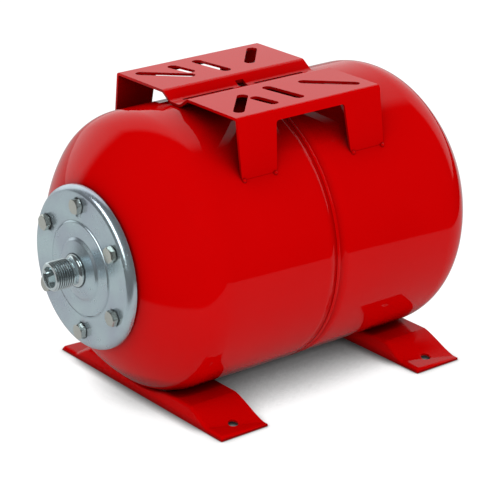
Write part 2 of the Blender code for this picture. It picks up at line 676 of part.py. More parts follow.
# --- feet -----------------------------------------------------------------------------------
def foot_height(x, across, y):
    """Height of a foot's top surface; across runs from 0 at the skirt to 1 at the open edge."""
    from_tip = FOOT_HALF_LENGTH - abs(y)
    pad_length = PAD_LENGTH_SKIRT + (PAD_LENGTH_OPEN - PAD_LENGTH_SKIRT) * across
    pad = PAD_HEIGHT_SKIRT + (PAD_HEIGHT_OPEN - PAD_HEIGHT_SKIRT) * across
    share = min(max((FALL_INSET - from_tip) / (FALL_INSET - pad_length), 0), 1)
    eased = share * share * (3 - 2 * share)
    height = FOOT_TOP + (pad - FOOT_TOP) * (share + (eased - share) * FALL_EASE)
    tip_share = min(max(1 - from_tip / TIP_BEND, 0), 1)
    height += (PAD_HEIGHT_OPEN - height) * tip_share**2
    return min(height, tank_underside(x, y) - 2 * TOUCH_GAP)


def foot_section(foot_x, y):
    """The sheet cut across at y: the top from the open edge, the bend, the skirt to the floor."""
    skirt_x = -FOOT_WIDTH / 2
    across = np.linspace(1, 0, 6)
    places = [skirt_x + SKIRT_BEND + (FOOT_WIDTH - SKIRT_BEND) * s for s in across]
    top = [(x, foot_height(foot_x + x, s, y)) for x, s in zip(places, across)]
    bend_top = top[-1][1]
    bend = min(SKIRT_BEND, bend_top - TOUCH_GAP)
    inner_bend = max(bend - FOOT_SHEET, TOUCH_GAP)
    inner_x = skirt_x + FOOT_SHEET
    outer, inner = list(top), [(x, max(z - FOOT_SHEET, 0)) for x, z in top]
    for a in np.linspace(0, math.pi / 2, 4)[1:]:
        outer.append((skirt_x + SKIRT_BEND * (1 - math.sin(a)), bend_top - bend * (1 - math.cos(a))))
        inner_z = bend_top - FOOT_SHEET - inner_bend * (1 - math.cos(a))
        inner.append((inner_x + SKIRT_BEND_INSIDE * (1 - math.sin(a)), max(inner_z, 0)))
    outer.append((skirt_x, 0))
    inner.append((inner_x, 0))
    return [(x, y, z) for x, z in outer + inner[::-1]]


def foot_stations():
    """Places along Y of a foot's sections: close together under the tank and at the fall."""
    half = FOOT_HALF_LENGTH
    cradle = math.sqrt(TANK_RADIUS**2 - (AXIS_HEIGHT - FOOT_TOP) ** 2)
    side = list(np.linspace(0, cradle, 6)[1:])
    side += list(np.linspace(half - FALL_INSET, half - PAD_LENGTH_OPEN, 8))
    side += [half - TIP_BEND, half - TIP_BEND / 2, half]
    return [-y for y in side[::-1]] + [0] + side


def foot(name, foot_x, paint):
    sections = [foot_section(foot_x, y) for y in foot_stations()]
    mesh = mesh_from(name, lambda bm: loft(bm, sections))
    piece = add_object(name, mesh, paint, (foot_x, 0, 0))
    hole_y = FOOT_HALF_LENGTH - FOOT_HOLE_INSET
    for y in (-hole_y, hole_y):
        hole = prism("foot_hole", circle((0, y), FOOT_HOLE_RADIUS, 20), "z", -CUT_REACH, FOOT_TOP)
        cut(piece, cutter("foot_hole", hole, (foot_x, 0, 0)))


# --- air valve --------------------------------------------------------------------------------
def valve_body(brass):
    collar_front = VALVE_SEAT_X - TOUCH_GAP - VALVE_SEAL - TOUCH_GAP - VALVE_COLLAR
    collar_back = collar_front + VALVE_COLLAR
    inside = collar_front - VALVE_INSIDE
    core_end = VALVE_END_X - CORE_RECESS
    core_start = core_end - CORE_LENGTH
    works = core_start - TOUCH_GAP - PIN_FOOT_GAP
    outline = [(inside, AIR_HOLE_RADIUS), (inside, VALVE_RADIUS), (collar_front, VALVE_RADIUS)]
    outline += [(collar_front, VALVE_COLLAR_RADIUS), (collar_back, VALVE_COLLAR_RADIUS)]
    outline += [(collar_back, VALVE_RADIUS), (VALVE_END_X - VALVE_CHAMFER, VALVE_RADIUS)]
    outline += [(VALVE_END_X, VALVE_RADIUS - VALVE_CHAMFER), (VALVE_END_X, VALVE_BORE_RADIUS)]
    outline += [(works, VALVE_BORE_RADIUS), (works, AIR_HOLE_RADIUS)]
    add_object("valve_body", turned("valve_body", outline, 24), brass, (0, 0, AXIS_HEIGHT))


def valve_seal(rubber):
    back = VALVE_SEAT_X - TOUCH_GAP
    hole = VALVE_RADIUS + TOUCH_GAP
    outline = [(back - VALVE_SEAL, hole), (back - VALVE_SEAL, VALVE_COLLAR_RADIUS)]
    outline += [(back, VALVE_COLLAR_RADIUS), (back, hole)]
    add_object("valve_seal", turned("valve_seal", outline, 24), rubber, (0, 0, AXIS_HEIGHT))


def valve_nut(brass):
    start = REAR_APEX_X + TOUCH_GAP
    end = start + VALVE_NUT_HEIGHT
    nut = add_object("valve_nut", prism("valve_nut", hexagon(VALVE_NUT_FLATS), "x", start, end),
                     brass, (0, 0, AXIS_HEIGHT))
    bore = prism("valve_nut_bore", circle((0, 0), VALVE_RADIUS + TOUCH_GAP, 24), "x",
                 start - CUT_REACH, end + CUT_REACH)
    cut(nut, cutter("valve_nut_bore", bore, (0, 0, AXIS_HEIGHT)))


def valve_core(brass):
    """The screwed-in barrel that guides the pin and gives the spring its seat."""
    end = VALVE_END_X - CORE_RECESS
    outline = [(end - CORE_LENGTH, PIN_RADIUS + SLIDE_GAP)]
    outline += [(end - CORE_LENGTH, VALVE_BORE_RADIUS - TOUCH_GAP)]
    outline += [(end, VALVE_BORE_RADIUS - TOUCH_GAP), (end, PIN_RADIUS + SLIDE_GAP)]
    add_object("valve_core", turned("valve_core", outline, 20), brass, (0, 0, AXIS_HEIGHT))


def valve_pin(brass):
    """The pin pushed in to let air through; its foot closes the core from behind."""
    core_start = VALVE_END_X - CORE_RECESS - CORE_LENGTH
    tip = VALVE_END_X - CORE_RECESS + PIN_PROUD
    foot_end = core_start - TOUCH_GAP
    outline = [(foot_end - PIN_FOOT, 0), (foot_end - PIN_FOOT, PIN_FOOT_RADIUS)]
    outline += [(foot_end, PIN_FOOT_RADIUS), (foot_end, PIN_RADIUS), (tip, PIN_RADIUS), (tip, 0)]
    add_object("valve_pin", turned("valve_pin", outline, 14), brass, (0, 0, AXIS_HEIGHT))


def valve_spring(steel):
    """The helix that pushes the pin's foot shut; it stands on the step in the valve body."""
    foot_end = VALVE_END_X - CORE_RECESS - CORE_LENGTH - TOUCH_GAP
    top = foot_end - PIN_FOOT - TOUCH_GAP - SPRING_WIRE_RADIUS
    bottom = foot_end - PIN_FOOT_GAP + TOUCH_GAP + SPRING_WIRE_RADIUS
    curve = bpy.data.curves.new("valve_spring", "CURVE")
    curve.dimensions = "3D"
    curve.bevel_depth = SPRING_WIRE_RADIUS
    curve.bevel_resolution = 1
    curve.use_fill_caps = True
    spline = curve.splines.new("POLY")
    count = SPRING_TURNS * SPRING_STEPS + 1
    spline.points.add(count - 1)
    for k, point in enumerate(spline.points):
        turn = 2 * math.pi * SPRING_TURNS * k / (count - 1)
        x = bottom + (top - bottom) * k / (count - 1)
        point.co = (x, SPRING_RADIUS * math.cos(turn), SPRING_RADIUS * math.sin(turn), 1)
    add_object("valve_spring", curve, steel, (0, 0, AXIS_HEIGHT))


def cap_grip(angle, radius):
    """Flutes round the cap's outside."""
    if radius < CAP_RADIUS - CAP_SIDE_WALL / 2:
        return radius
    return radius - CAP_GRIP_DEPTH * (0.5 - 0.5 * math.cos(CAP_GRIPS * angle))


def valve_cap(plastic, rubber):
    bore = VALVE_RADIUS + SLIDE_GAP
    seal_x = VALVE_END_X + TOUCH_GAP
    floor_x = seal_x + CAP_SEAL + TOUCH_GAP
    outline = [(CAP_MOUTH_X, bore), (CAP_MOUTH_X, CAP_RADIUS)]
    outline += [(CAP_END_X - CAP_EDGE, CAP_RADIUS), (CAP_END_X, CAP_RADIUS - CAP_EDGE), (CAP_END_X, 0)]
    outline += [(floor_x, 0), (floor_x, bore)]
    mesh = turned("valve_cap", outline, CAP_GRIPS * 4, cap_grip)
    cap = add_object("valve_cap", mesh, plastic, (0, 0, AXIS_HEIGHT))
    ring = [(seal_x, CAP_SEAL_HOLE), (seal_x, bore - TOUCH_GAP)]
    ring += [(seal_x + CAP_SEAL, bore - TOUCH_GAP), (seal_x + CAP_SEAL, CAP_SEAL_HOLE)]
    add_object("cap_seal", turned("cap_seal", ring, 20), rubber, (0, 0, 0), parent=cap)


def main():
    clear_scene()
    add_frame()
    red = material("red_enamel", (0.62, 0.005, 0.008), 0.12, 0.0)
    zinc = material("clear_zinc", (0.62, 0.68, 0.72), 0.28, 1.0)
    bolt_zinc = material("bolt_zinc", (0.66, 0.66, 0.60), 0.35, 1.0)
    steel = material("plain_steel", (0.45, 0.45, 0.46), 0.45, 1.0)
    brass = material("valve_brass", (0.72, 0.52, 0.22), 0.30, 1.0)
    black_rubber = material("bladder_rubber", (0.03, 0.03, 0.035), 0.70, 0.0)
    plastic = material("cap_plastic", (0.02, 0.02, 0.02), 0.45, 0.0)
    front_shell(red)
    rear_shell(red)
    girth_weld(red)
    mouth_ring(steel)
    weld_nuts(steel)
    flange_cover(zinc)
    cover_bolts(bolt_zinc)
    nipple(zinc)
    bladder(black_rubber)
    pump_bracket(red)
    foot("front_foot", FRONT_FOOT_X, red)
    foot("rear_foot", REAR_FOOT_X, red)
    valve_body(brass)
    valve_seal(black_rubber)
    valve_nut(brass)
    valve_core(brass)
    valve_pin(brass)
    valve_spring(steel)
    valve_cap(plastic, black_rubber)


main()
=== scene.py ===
"""Horizontal bladder pressure tank: the finished surfaces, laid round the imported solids.

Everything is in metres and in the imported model's own frame: +X along the tank from the flange
cover to the air valve, +Y across the feet, +Z up, with the floor at z = 0.
"""

import json
import logging
from dataclasses import dataclass, replace
from enum import Enum
from functools import cache

import bmesh
import bpy
import numpy as np
from mathutils import Matrix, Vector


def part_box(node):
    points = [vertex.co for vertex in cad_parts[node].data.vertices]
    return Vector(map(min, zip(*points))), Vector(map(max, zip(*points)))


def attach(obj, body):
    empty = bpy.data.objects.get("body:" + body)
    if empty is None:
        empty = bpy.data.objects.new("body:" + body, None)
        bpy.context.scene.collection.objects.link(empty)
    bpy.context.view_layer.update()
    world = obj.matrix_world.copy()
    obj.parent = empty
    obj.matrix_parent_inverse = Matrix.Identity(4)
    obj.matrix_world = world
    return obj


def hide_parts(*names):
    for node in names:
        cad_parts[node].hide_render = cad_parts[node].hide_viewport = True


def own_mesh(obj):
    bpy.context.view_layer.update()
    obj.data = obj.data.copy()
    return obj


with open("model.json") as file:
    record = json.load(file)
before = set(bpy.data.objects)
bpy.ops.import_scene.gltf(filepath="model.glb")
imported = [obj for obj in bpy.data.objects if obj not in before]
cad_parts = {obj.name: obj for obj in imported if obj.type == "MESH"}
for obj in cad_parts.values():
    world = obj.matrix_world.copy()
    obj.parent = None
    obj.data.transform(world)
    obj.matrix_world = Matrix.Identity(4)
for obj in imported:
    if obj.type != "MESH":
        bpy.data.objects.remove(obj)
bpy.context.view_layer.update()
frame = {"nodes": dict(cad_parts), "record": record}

Array = np.ndarray
Mesh = bpy.types.Mesh
Material = bpy.types.Material
Socket = bpy.types.NodeSocket
Colour = tuple[float, float, float]

LOG = logging.getLogger("tank")
TOUCH_GAP = 0.0003  # between neighbouring pieces, in metres
TOOL_PAST = 0.004  # how far a cutting tool runs past what it cuts
MERGE_WITHIN = 1e-7  # points nearer than this are one
STRAIGHT_HALF = np.radians(89.5)  # half angle past which a corner is no corner
SUPPORT_SHARE = 0.12  # a support point's distance past an arc, as a share of its radius
NOISE_MIDDLE = (0.3, 0.7)  # the span in which a noise mostly lies
OVERHEAD = 0.95  # a lamp's share of height from which Z no longer tells its sides


# --- meshes from numpy grids ---
class Wrap(Enum):
    """Which ways a grid of points closes on itself."""

    AROUND = (False, True)
    BOTH = (True, True)


def mesh_from_arrays(name: str, points: Array, faces: list[Array]) -> Mesh:
    """Puts points and groups of equally long faces into a new mesh.

    Args:
        name: the mesh's name.
        points: (n, 3) positions.
        faces: arrays of vertex numbers, one row for each face.

    Returns:
        The mesh, smooth all over, with doubles merged and its faces turned outwards.
    """
    mesh = bpy.data.meshes.new(name)
    mesh.vertices.add(len(points))
    mesh.vertices.foreach_set("co", np.ascontiguousarray(points, np.float32).ravel())
    loops = np.concatenate([f.ravel() for f in faces]).astype(np.int32)
    sizes = np.concatenate([np.full(len(f), f.shape[1], np.int32) for f in faces])
    mesh.loops.add(len(loops))
    mesh.loops.foreach_set("vertex_index", loops)
    mesh.polygons.add(len(sizes))
    mesh.polygons.foreach_set("loop_start", np.concatenate([[0], np.cumsum(sizes)[:-1]]))
    mesh.update(calc_edges=True)
    mesh.validate()
    bm = bmesh.new()
    bm.from_mesh(mesh)
    bmesh.ops.remove_doubles(bm, verts=bm.verts, dist=MERGE_WITHIN)
    bmesh.ops.recalc_face_normals(bm, faces=bm.faces)
    bm.to_mesh(mesh)
    bm.free()
    mesh.shade_smooth()
    return mesh


def grid_faces(rows: int, columns: int, wrap: Wrap) -> Array:
    """Quads of a grid of rows x columns points, closed on itself as wrap says.

    Args:
        rows: number of points along the first parameter.
        columns: number of points along the second.
        wrap: which parameters close.

    Returns:
        (n, 4) vertex numbers.
    """
    close_rows, close_columns = wrap.value
    i, j = np.meshgrid(
        np.arange(rows if close_rows else rows - 1),
        np.arange(columns if close_columns else columns - 1),
        indexing="ij",
    )
    i, j = i.ravel(), j.ravel()
    below, beside = (i + 1) % rows, (j + 1) % columns
    return np.stack([i * columns + j, i * columns + beside, below * columns + beside, below * columns + j], 1)


def round_angles(count: int) -> Array:
    """(1, count) angles of even steps round a circle, in radians."""
    return np.linspace(0, 2 * np.pi, count, endpoint=False)[None, :]


def circle(radius: float, count: int) -> Array:
    """(count, 2) points round a circle."""
    angle = round_angles(count)[0]
    return np.stack([np.cos(angle), np.sin(angle)], 1) * radius


def level_line(start: float, end: float, height: float, count: int = 12) -> Array:
    """(count, 2) points from start to end at one height."""
    return np.stack([np.linspace(start, end, count), np.full(count, height)], 1)


def spun_mesh(name: str, x: Array, radius: Array, sharp: float = 0.0) -> Mesh:
    """Rings round the X axis, the last joined to the first.

    The point of row s at angle a is (x(s, a), r(s, a) cos a, r(s, a) sin a).

    Args:
        name: the mesh's name.
        x: (rows, 1) or (rows, steps) places along the axis.
        radius: (rows, steps) distances from it.
        sharp: least turn of an edge that isn't shaded smooth, in degrees, 0 to smooth them all.

    Returns:
        The closed mesh.
    """
    angle = round_angles(radius.shape[1])
    grid = np.stack([np.broadcast_to(x, radius.shape), radius * np.cos(angle), radius * np.sin(angle)], 2)
    mesh = mesh_from_arrays(name, grid.reshape(-1, 3), [grid_faces(*radius.shape, Wrap.BOTH)])
    if sharp:
        mesh.set_sharp_from_angle(angle=np.radians(sharp))
    return mesh


def turned_mesh(name: str, profile: Array, segments: int, sharp: float = 0.0) -> Mesh:
    """A closed profile turned about the X axis.

    Args:
        name: the mesh's name.
        profile: (n, 2) of x and radius, closed on itself; a radius of 0 is a pole.
        segments: number of steps round.
        sharp: as in spun_mesh.

    Returns:
        The closed mesh, with its axis on the X axis.
    """
    radius = np.broadcast_to(profile[:, 1:], (len(profile), segments))
    return spun_mesh(name, profile[:, :1], radius, sharp)


def ring_mesh(name: str, rings: Array) -> Mesh:
    """Rings of points joined in order, with a flat face on the first and on the last.

    Args:
        name: the mesh's name.
        rings: (rows, columns, 3) positions.

    Returns:
        The closed mesh.
    """
    rows, columns = rings.shape[:2]
    sides = grid_faces(rows, columns, Wrap.AROUND)
    caps = np.stack([np.arange(columns), np.arange(columns)[::-1] + (rows - 1) * columns])
    return mesh_from_arrays(name, rings.reshape(-1, 3), [sides, caps])


def rounded(corners: list[tuple[float, float, float]], step: float = 7.0) -> Array:
    """A path whose corners are replaced by arcs, with a support point beyond each arc's ends.

    A corner of inner half angle h and radius r starts r / tan h before the corner, and its arc
    is the circle of radius r whose centre lies r / sin h from the corner on the bisector.

    Args:
        corners: an open path's corners, each with its radius, 0 for a sharp one.
        step: largest turn between neighbouring points, in degrees.

    Returns:
        (m, 2) points of the rounded path.
    """
    rows = np.array(corners, float)
    points, radii = rows[:, :2], rows[:, 2]
    path = [points[0]]
    for before, corner, after, radius in zip(points, points[1:], points[2:], radii[1:]):
        back, ahead = np.subtract(before, corner), np.subtract(after, corner)
        back, ahead = back / np.linalg.norm(back), ahead / np.linalg.norm(ahead)
        half = np.arccos(np.clip(back @ ahead, -1, 1)) / 2
        if radius <= 0 or half > STRAIGHT_HALF:
            path.append(corner)
            continue
        centre = corner + (back + ahead) / np.linalg.norm(back + ahead) * radius / np.sin(half)
        first = corner + back * radius / np.tan(half) - centre
        last = corner + ahead * radius / np.tan(half) - centre
        turn = np.arctan2(first[0] * last[1] - first[1] * last[0], first @ last)
        count = max(int(np.ceil(abs(np.degrees(turn)) / step)), 2)
        a = np.linspace(0, turn, count + 1)[:, None]
        across = np.array([-first[1], first[0]])
        arc = centre + np.cos(a) * first + np.sin(a) * across
        support = radius * SUPPORT_SHARE
        path += [arc[0] + back * support, *arc, arc[-1] + ahead * support]
    path.append(points[-1])
    return np.array(path)


def sheet_outline(path: Array, thickness: float) -> Array:
    """The path and its copy one thickness to its right, as one closed outline.

    Each inner point lies along the mitre of its two neighbours' right-hand normals.

    Args:
        path: (n, 2) points.
        thickness: of the sheet.

    Returns:
        (2 n, 2) points.
    """
    steps = np.diff(path, axis=0)
    steps = steps / np.linalg.norm(steps, axis=1)[:, None]
    right = np.stack([steps[:, 1], -steps[:, 0]], 1)
    before, after = np.vstack([right[:1], right]), np.vstack([right, right[-1:]])
    mitre = (before + after) / (1 + (before * after).sum(1))[:, None]
    return np.vstack([path, (path + mitre * thickness)[::-1]])


def smooth_step(share: Array) -> Array:
    """Eases 0 to 1 with level ends: 3 s^2 - 2 s^3, held at 0 and 1 outside."""
    share = np.clip(share, 0, 1)
    return share * share * (3 - 2 * share)


def soft_lower(a: Array, b: Array, blend: float) -> Array:
    """The lower of two heights with its crease rounded: -k log(exp(-a/k) + exp(-b/k))."""
    low = np.minimum(a, b)
    return low - blend * np.log(np.exp((low - a) / blend) + np.exp((low - b) / blend))


def ripple(places: Array, waves: tuple[tuple[float, float], ...]) -> Array:
    """A smooth irregular swing between about -1 and 1: a mean of sines of unrelated pitch.

    Args:
        places: where along the line, any unit.
        waves: pairs of frequency and phase.

    Returns:
        One value for each place.
    """
    return sum(np.sin(f * places + p) for f, p in waves) / len(waves)


def move(mesh: Mesh, offset: tuple[float, float, float]) -> Mesh:
    """The same mesh with its points moved by offset."""
    points = np.empty(len(mesh.vertices) * 3, np.float32)
    mesh.vertices.foreach_get("co", points)
    points = points.reshape(-1, 3) + np.array(offset, np.float32)
    mesh.vertices.foreach_set("co", points.ravel())
    mesh.update()
    return mesh


def cutter_of(mesh: Mesh) -> bpy.types.Object:
    """A helper object for a cut, which is never rendered."""
    tool = bpy.data.objects.new("tool", mesh)
    bpy.context.scene.collection.objects.link(tool)
    return tool


def settled(work: bpy.types.Object) -> Mesh:
    """The mesh of an object with its modifiers worked in."""
    return bpy.data.meshes.new_from_object(work.evaluated_get(bpy.context.evaluated_depsgraph_get()))


def cut_away(mesh: Mesh, tools: list[Mesh], operation: str = "DIFFERENCE") -> Mesh:
    """A mesh with each tool's space taken out of it, or with only what it shares with the tools left.

    Args:
        mesh: a closed mesh.
        tools: closed meshes of the spaces.
        operation: DIFFERENCE or INTERSECT.

    Returns:
        The cut mesh.
    """
    work = cutter_of(mesh)
    cutters = [cutter_of(tool) for tool in tools]
    for tool in cutters:
        change = work.modifiers.new("cut", "BOOLEAN")
        change.operation = operation
        change.solver = "EXACT"
        change.object = tool
    result = settled(work)
    for obj in [work, *cutters]:
        bpy.data.objects.remove(obj)
    return result


def soften_edges(mesh: Mesh, width: float, angle: float = 35, segments: int = 2) -> Mesh:
    """A mesh with its sharp edges rounded and its flats shaded flat.

    Args:
        mesh: a closed mesh.
        width: of the rounding.
        angle: least turn between faces, in degrees, that counts as an edge.
        segments: steps across the rounding.

    Returns:
        The new mesh.
    """
    work = cutter_of(mesh)
    bevel = work.modifiers.new("bevel", "BEVEL")
    bevel.width = width
    bevel.segments = segments
    bevel.limit_method = "ANGLE"
    bevel.angle_limit = np.radians(angle)
    bevel.use_clamp_overlap = True
    weighted = work.modifiers.new("weighted", "WEIGHTED_NORMAL")
    weighted.weight = 100
    work.data.shade_smooth()
    result = settled(work)
    bpy.data.objects.remove(work)
    return result


def prism_mesh(name: str, outline: Array, axis: int, low: float, high: float) -> Mesh:
    """A flat outline pushed out along one axis.

    Args:
        name: the mesh's name.
        outline: (n, 2) points in the two other axes, in X, Y, Z order.
        axis: 0, 1 or 2, the axis it runs along.
        low: where it starts.
        high: where it ends.

    Returns:
        The closed mesh.
    """
    others = [k for k in range(3) if k != axis]
    rings = np.zeros((2, len(outline), 3))
    rings[:, :, others] = outline
    rings[0, :, axis], rings[1, :, axis] = low, high
    return ring_mesh(name, rings)


def joined_mesh(name: str, meshes: list[Mesh]) -> Mesh:
    """Several closed meshes as one, each keeping its own shell, shaded smooth."""
    bm = bmesh.new()
    for mesh in meshes:
        bm.from_mesh(mesh)
    joined = bpy.data.meshes.new(name)
    bm.to_mesh(joined)
    bm.free()
    joined.shade_smooth()
    return joined


# --- finishes ---
class NodeGraph:
    """The node tree of a material or a world, with short ways to add joined nodes."""

    def __init__(self, owner: Material | bpy.types.World) -> None:
        """Turns on the owner's nodes.

        Args:
            owner: the material or the world.
        """
        owner.use_nodes = True
        self.tree = owner.node_tree

    def put(self, value: object, target: Socket) -> None:
        """Joins a socket to an input, or sets the input to a constant."""
        if isinstance(value, Socket):
            self.tree.links.new(value, target)
        else:
            target.default_value = value

    def add(self, kind: str, operation: str = "", **values: object) -> bpy.types.Node:
        """A new node with its inputs set or joined.

        Args:
            kind: Blender's name for the node, without ShaderNode.
            operation: what a maths node works out.
            **values: a constant or a socket for each input, by its name with underscores for spaces, or
                by its number, as in _0.

        Returns:
            The node.
        """
        node = self.tree.nodes.new("ShaderNode" + kind)
        if operation:
            node.operation = operation
        for key, value in values.items():
            self.put(value, node.inputs[int(key[1:]) if key[0] == "_" else key.replace("_", " ")])
        return node

    def math(self, operation: str, first: object, second: object) -> Socket:
        """The socket of a maths node over two values."""
        return self.add("Math", operation, _0=first, _1=second).outputs[0]

    def mix(self, share: Socket, first: object, second: object) -> Socket:
        """The socket of a colour between two, by a share from 0 to 1."""
        return self.add("MixRGB", Fac=share, Color1=first, Color2=second).outputs[0]

    def ramp(self, share: Socket, *stops: tuple[float, Colour]) -> bpy.types.Node:
        """A ramp between two colours.

        Args:
            share: the value that picks the colour.
            *stops: for each end, the value past which its colour holds, and that colour.

        Returns:
            The ramp's node.
        """
        node = self.add("ValToRGB", Fac=share)
        for element, (position, colour) in zip(node.color_ramp.elements, stops):
            element.position, element.color = position, (*colour, 1)
        return node

    def openness(self, reach: float, power: float) -> Socket:
        """The open share round a point, counting surfaces up to reach away, raised to a power."""
        return self.math("POWER", self.add("AmbientOcclusion", Distance=reach).outputs["AO"], power)


@dataclass(frozen=True)
class Grain:
    """A noise over the object: its waves to a metre, its finer layers and its scale along each axis."""

    scale: float
    detail: float = 2.0
    stretch: tuple[float, float, float] = (1, 1, 1)


@dataclass(frozen=True)
class Finish:
    """A surface whose colour drifts, whose gloss is uneven and whose skin swells a little.

    The drift runs from shade to colour over patches. The roughness runs over the two values of rough. Where
    other surfaces within painted_shade_reach close a point in, its colour turns to corner by
    painted_shade_power: a painted shade in corners, creases, thread valleys and under overhangs.
    """

    slot: str
    name: str
    colour: Colour
    shade: Colour
    patches: Grain
    rough: tuple[float, float]
    rough_grain: Grain
    swell: Grain
    swell_height: float
    swell_strength: float
    metal: float = 0.0
    gloss: float = 0.5
    # corner and the two fields below it set a painted shade: a darker colour where nearby surfaces close a
    # point in
    corner: Colour | None = None
    painted_shade_reach: float = 0.0
    painted_shade_power: float = 1.0


@cache
def material_of(finish: Finish) -> Material:
    """The finish as a node material, made once."""
    material = bpy.data.materials.new(finish.name)
    graph = NodeGraph(material)
    shader = graph.tree.nodes["Principled BSDF"]
    place = graph.add("TexCoord").outputs["Object"]
    low, high = NOISE_MIDDLE

    def noise(grain: Grain) -> Socket:
        """The grain's value over the object's own coordinates."""
        mapped = graph.add("Mapping", Vector=place, Scale=grain.stretch).outputs["Vector"]
        return graph.add("TexNoise", Vector=mapped, Scale=grain.scale, Detail=grain.detail).outputs["Fac"]

    tint = graph.ramp(noise(finish.patches), (low, finish.shade), (high, finish.colour)).outputs["Color"]
    # Painted shade: where nearby surfaces close a point in, the colour darkens towards the finish's corner
    # colour
    if finish.corner:
        share = graph.openness(finish.painted_shade_reach, finish.painted_shade_power)
        tint = graph.mix(share, (*finish.corner, 1), tint)
    rough = graph.add(
        "MapRange", Value=noise(finish.rough_grain), From_Min=low, From_Max=high,
        To_Min=finish.rough[0], To_Max=finish.rough[1],
    )
    bump = graph.add(
        "Bump", Height=noise(finish.swell), Strength=finish.swell_strength, Distance=finish.swell_height
    )
    graph.put(tint, shader.inputs["Base Color"])
    graph.put(rough.outputs["Result"], shader.inputs["Roughness"])
    graph.put(bump.outputs["Normal"], shader.inputs["Normal"])
    shader.inputs["Metallic"].default_value = finish.metal
    shader.inputs["Specular IOR Level"].default_value = finish.gloss
    return material


# Baked gloss enamel: a deep even colour with a faint orange-peel swell, and a painted shade that darkens it
# to a deep red near other surfaces.
ENAMEL = Finish(
    "enamel", "enamel", (0.65, 0.0004, 0.0008), (0.63, 0.0003, 0.0006), Grain(14),
    rough=(0.035, 0.055), rough_grain=Grain(90, 3), swell=Grain(160, 1), swell_height=0.00001,
    swell_strength=0.35, gloss=0.15, corner=(0.16, 0.0003, 0.0006), painted_shade_reach=0.042, painted_shade_power=2.2,
)
# The feet's enamel: less gloss, and a painted shade that reaches only a short way.
FOOT_ENAMEL = replace(ENAMEL, name="foot_enamel", gloss=0.06, painted_shade_reach=0.008)
# Clear zinc plate: satin metal with soft cloudy patches, and a painted shade that darkens it in thread
# valleys and tight recesses.
ZINC = Finish(
    "zinc", "zinc", (0.62, 0.78, 0.82), (0.53, 0.61, 0.70), Grain(26),
    rough=(0.22, 0.28), rough_grain=Grain(120, 4), swell=Grain(60, 1), swell_height=0.00002,
    swell_strength=0.25, metal=0.80, corner=(0.05, 0.06, 0.065), painted_shade_reach=0.0016, painted_shade_power=2.5,
)
# Brighter zinc for the nipple, with the same painted shade in its thread valleys.
BRIGHT_ZINC = replace(
    ZINC, name="bright_zinc", colour=(0.80, 0.92, 0.94), shade=(0.70, 0.82, 0.84),
    rough=(0.10, 0.15), metal=0.88,
)
# Zinc for the bolts, with the same painted shade in their recesses.
BOLT_ZINC = replace(
    ZINC, slot="bolt_zinc", name="bolt_zinc", colour=(0.68, 0.71, 0.65), shade=(0.56, 0.59, 0.55),
    rough=(0.13, 0.18), metal=0.88,
)
# Uncoated rolled steel: grey, with streaks along the sheet.
BARE_STEEL = Finish(
    "bare_steel", "bare_steel", (0.36, 0.36, 0.37), (0.24, 0.235, 0.23), Grain(80, 4, (0.2, 1, 1)),
    rough=(0.38, 0.55), rough_grain=Grain(200, 3), swell=Grain(700), swell_height=0.00003,
    swell_strength=0.4, metal=1.0,
)
# Turned brass with fine tool lines and slight tarnish.
BRASS = Finish(
    "brass", "turned_brass", (0.72, 0.50, 0.20), (0.52, 0.34, 0.12), Grain(300, 3),
    rough=(0.22, 0.36), rough_grain=Grain(500, 3), swell=Grain(4000, 1, (1, 0.05, 0.05)),
    swell_height=0.00001, swell_strength=0.5, metal=1.0,
)
# Moulded black rubber and plastic with a fine matt grain.
RUBBER = Finish(
    "rubber", "rubber", (0.034, 0.034, 0.038), (0.02, 0.02, 0.022), Grain(60, 3),
    rough=(0.6, 0.8), rough_grain=Grain(350), swell=Grain(900), swell_height=0.00005, swell_strength=0.35,
)
CAP_PLASTIC = replace(
    RUBBER, slot="cap_plastic", name="cap_plastic", colour=(0.022, 0.022, 0.022), shade=(0.015, 0.015, 0.015),
    rough=(0.35, 0.5), swell=Grain(1500),
)
SLOT_FINISHES = {f.slot: f for f in (ENAMEL, ZINC, BOLT_ZINC, BARE_STEEL, BRASS, RUBBER, CAP_PLASTIC)}


# --- placing pieces ---
@dataclass(frozen=True)
class Place:
    """Where the tank lies in the frame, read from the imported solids."""

    seam_x: float
    axis_z: float

    @classmethod
    def from_frame(cls) -> "Place":
        """Reads the girth seam and the tank's axis from the weld's box."""
        low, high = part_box("girth_weld")
        return cls((low.x + high.x) / 2, (low.z + high.z) / 2)

    def on_axis(self, mesh: Mesh) -> Mesh:
        """Moves a mesh made round the X axis at the seam to its place on the tank."""
        return move(mesh, (self.seam_x, 0, self.axis_z))


def add_piece(name: str, mesh: Mesh, finish: Finish, body: str, *nodes: str) -> None:
    """Adds a finished piece that rides on a body, and stands for its solids if it has any.

    Args:
        name: the piece's name.
        mesh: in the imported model's frame.
        finish: its surface, which names the record's material slot too.
        body: the body it moves with.
        *nodes: the solids it stands for.
    """
    mesh.materials.clear()
    mesh.materials.append(material_of(finish))
    piece = bpy.data.objects.new(name, mesh)
    bpy.context.scene.collection.objects.link(piece)
    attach(piece, body)
    if nodes:
        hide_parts(*nodes)
    LOG.info("%s: %d faces on %s", name, len(mesh.polygons), body)


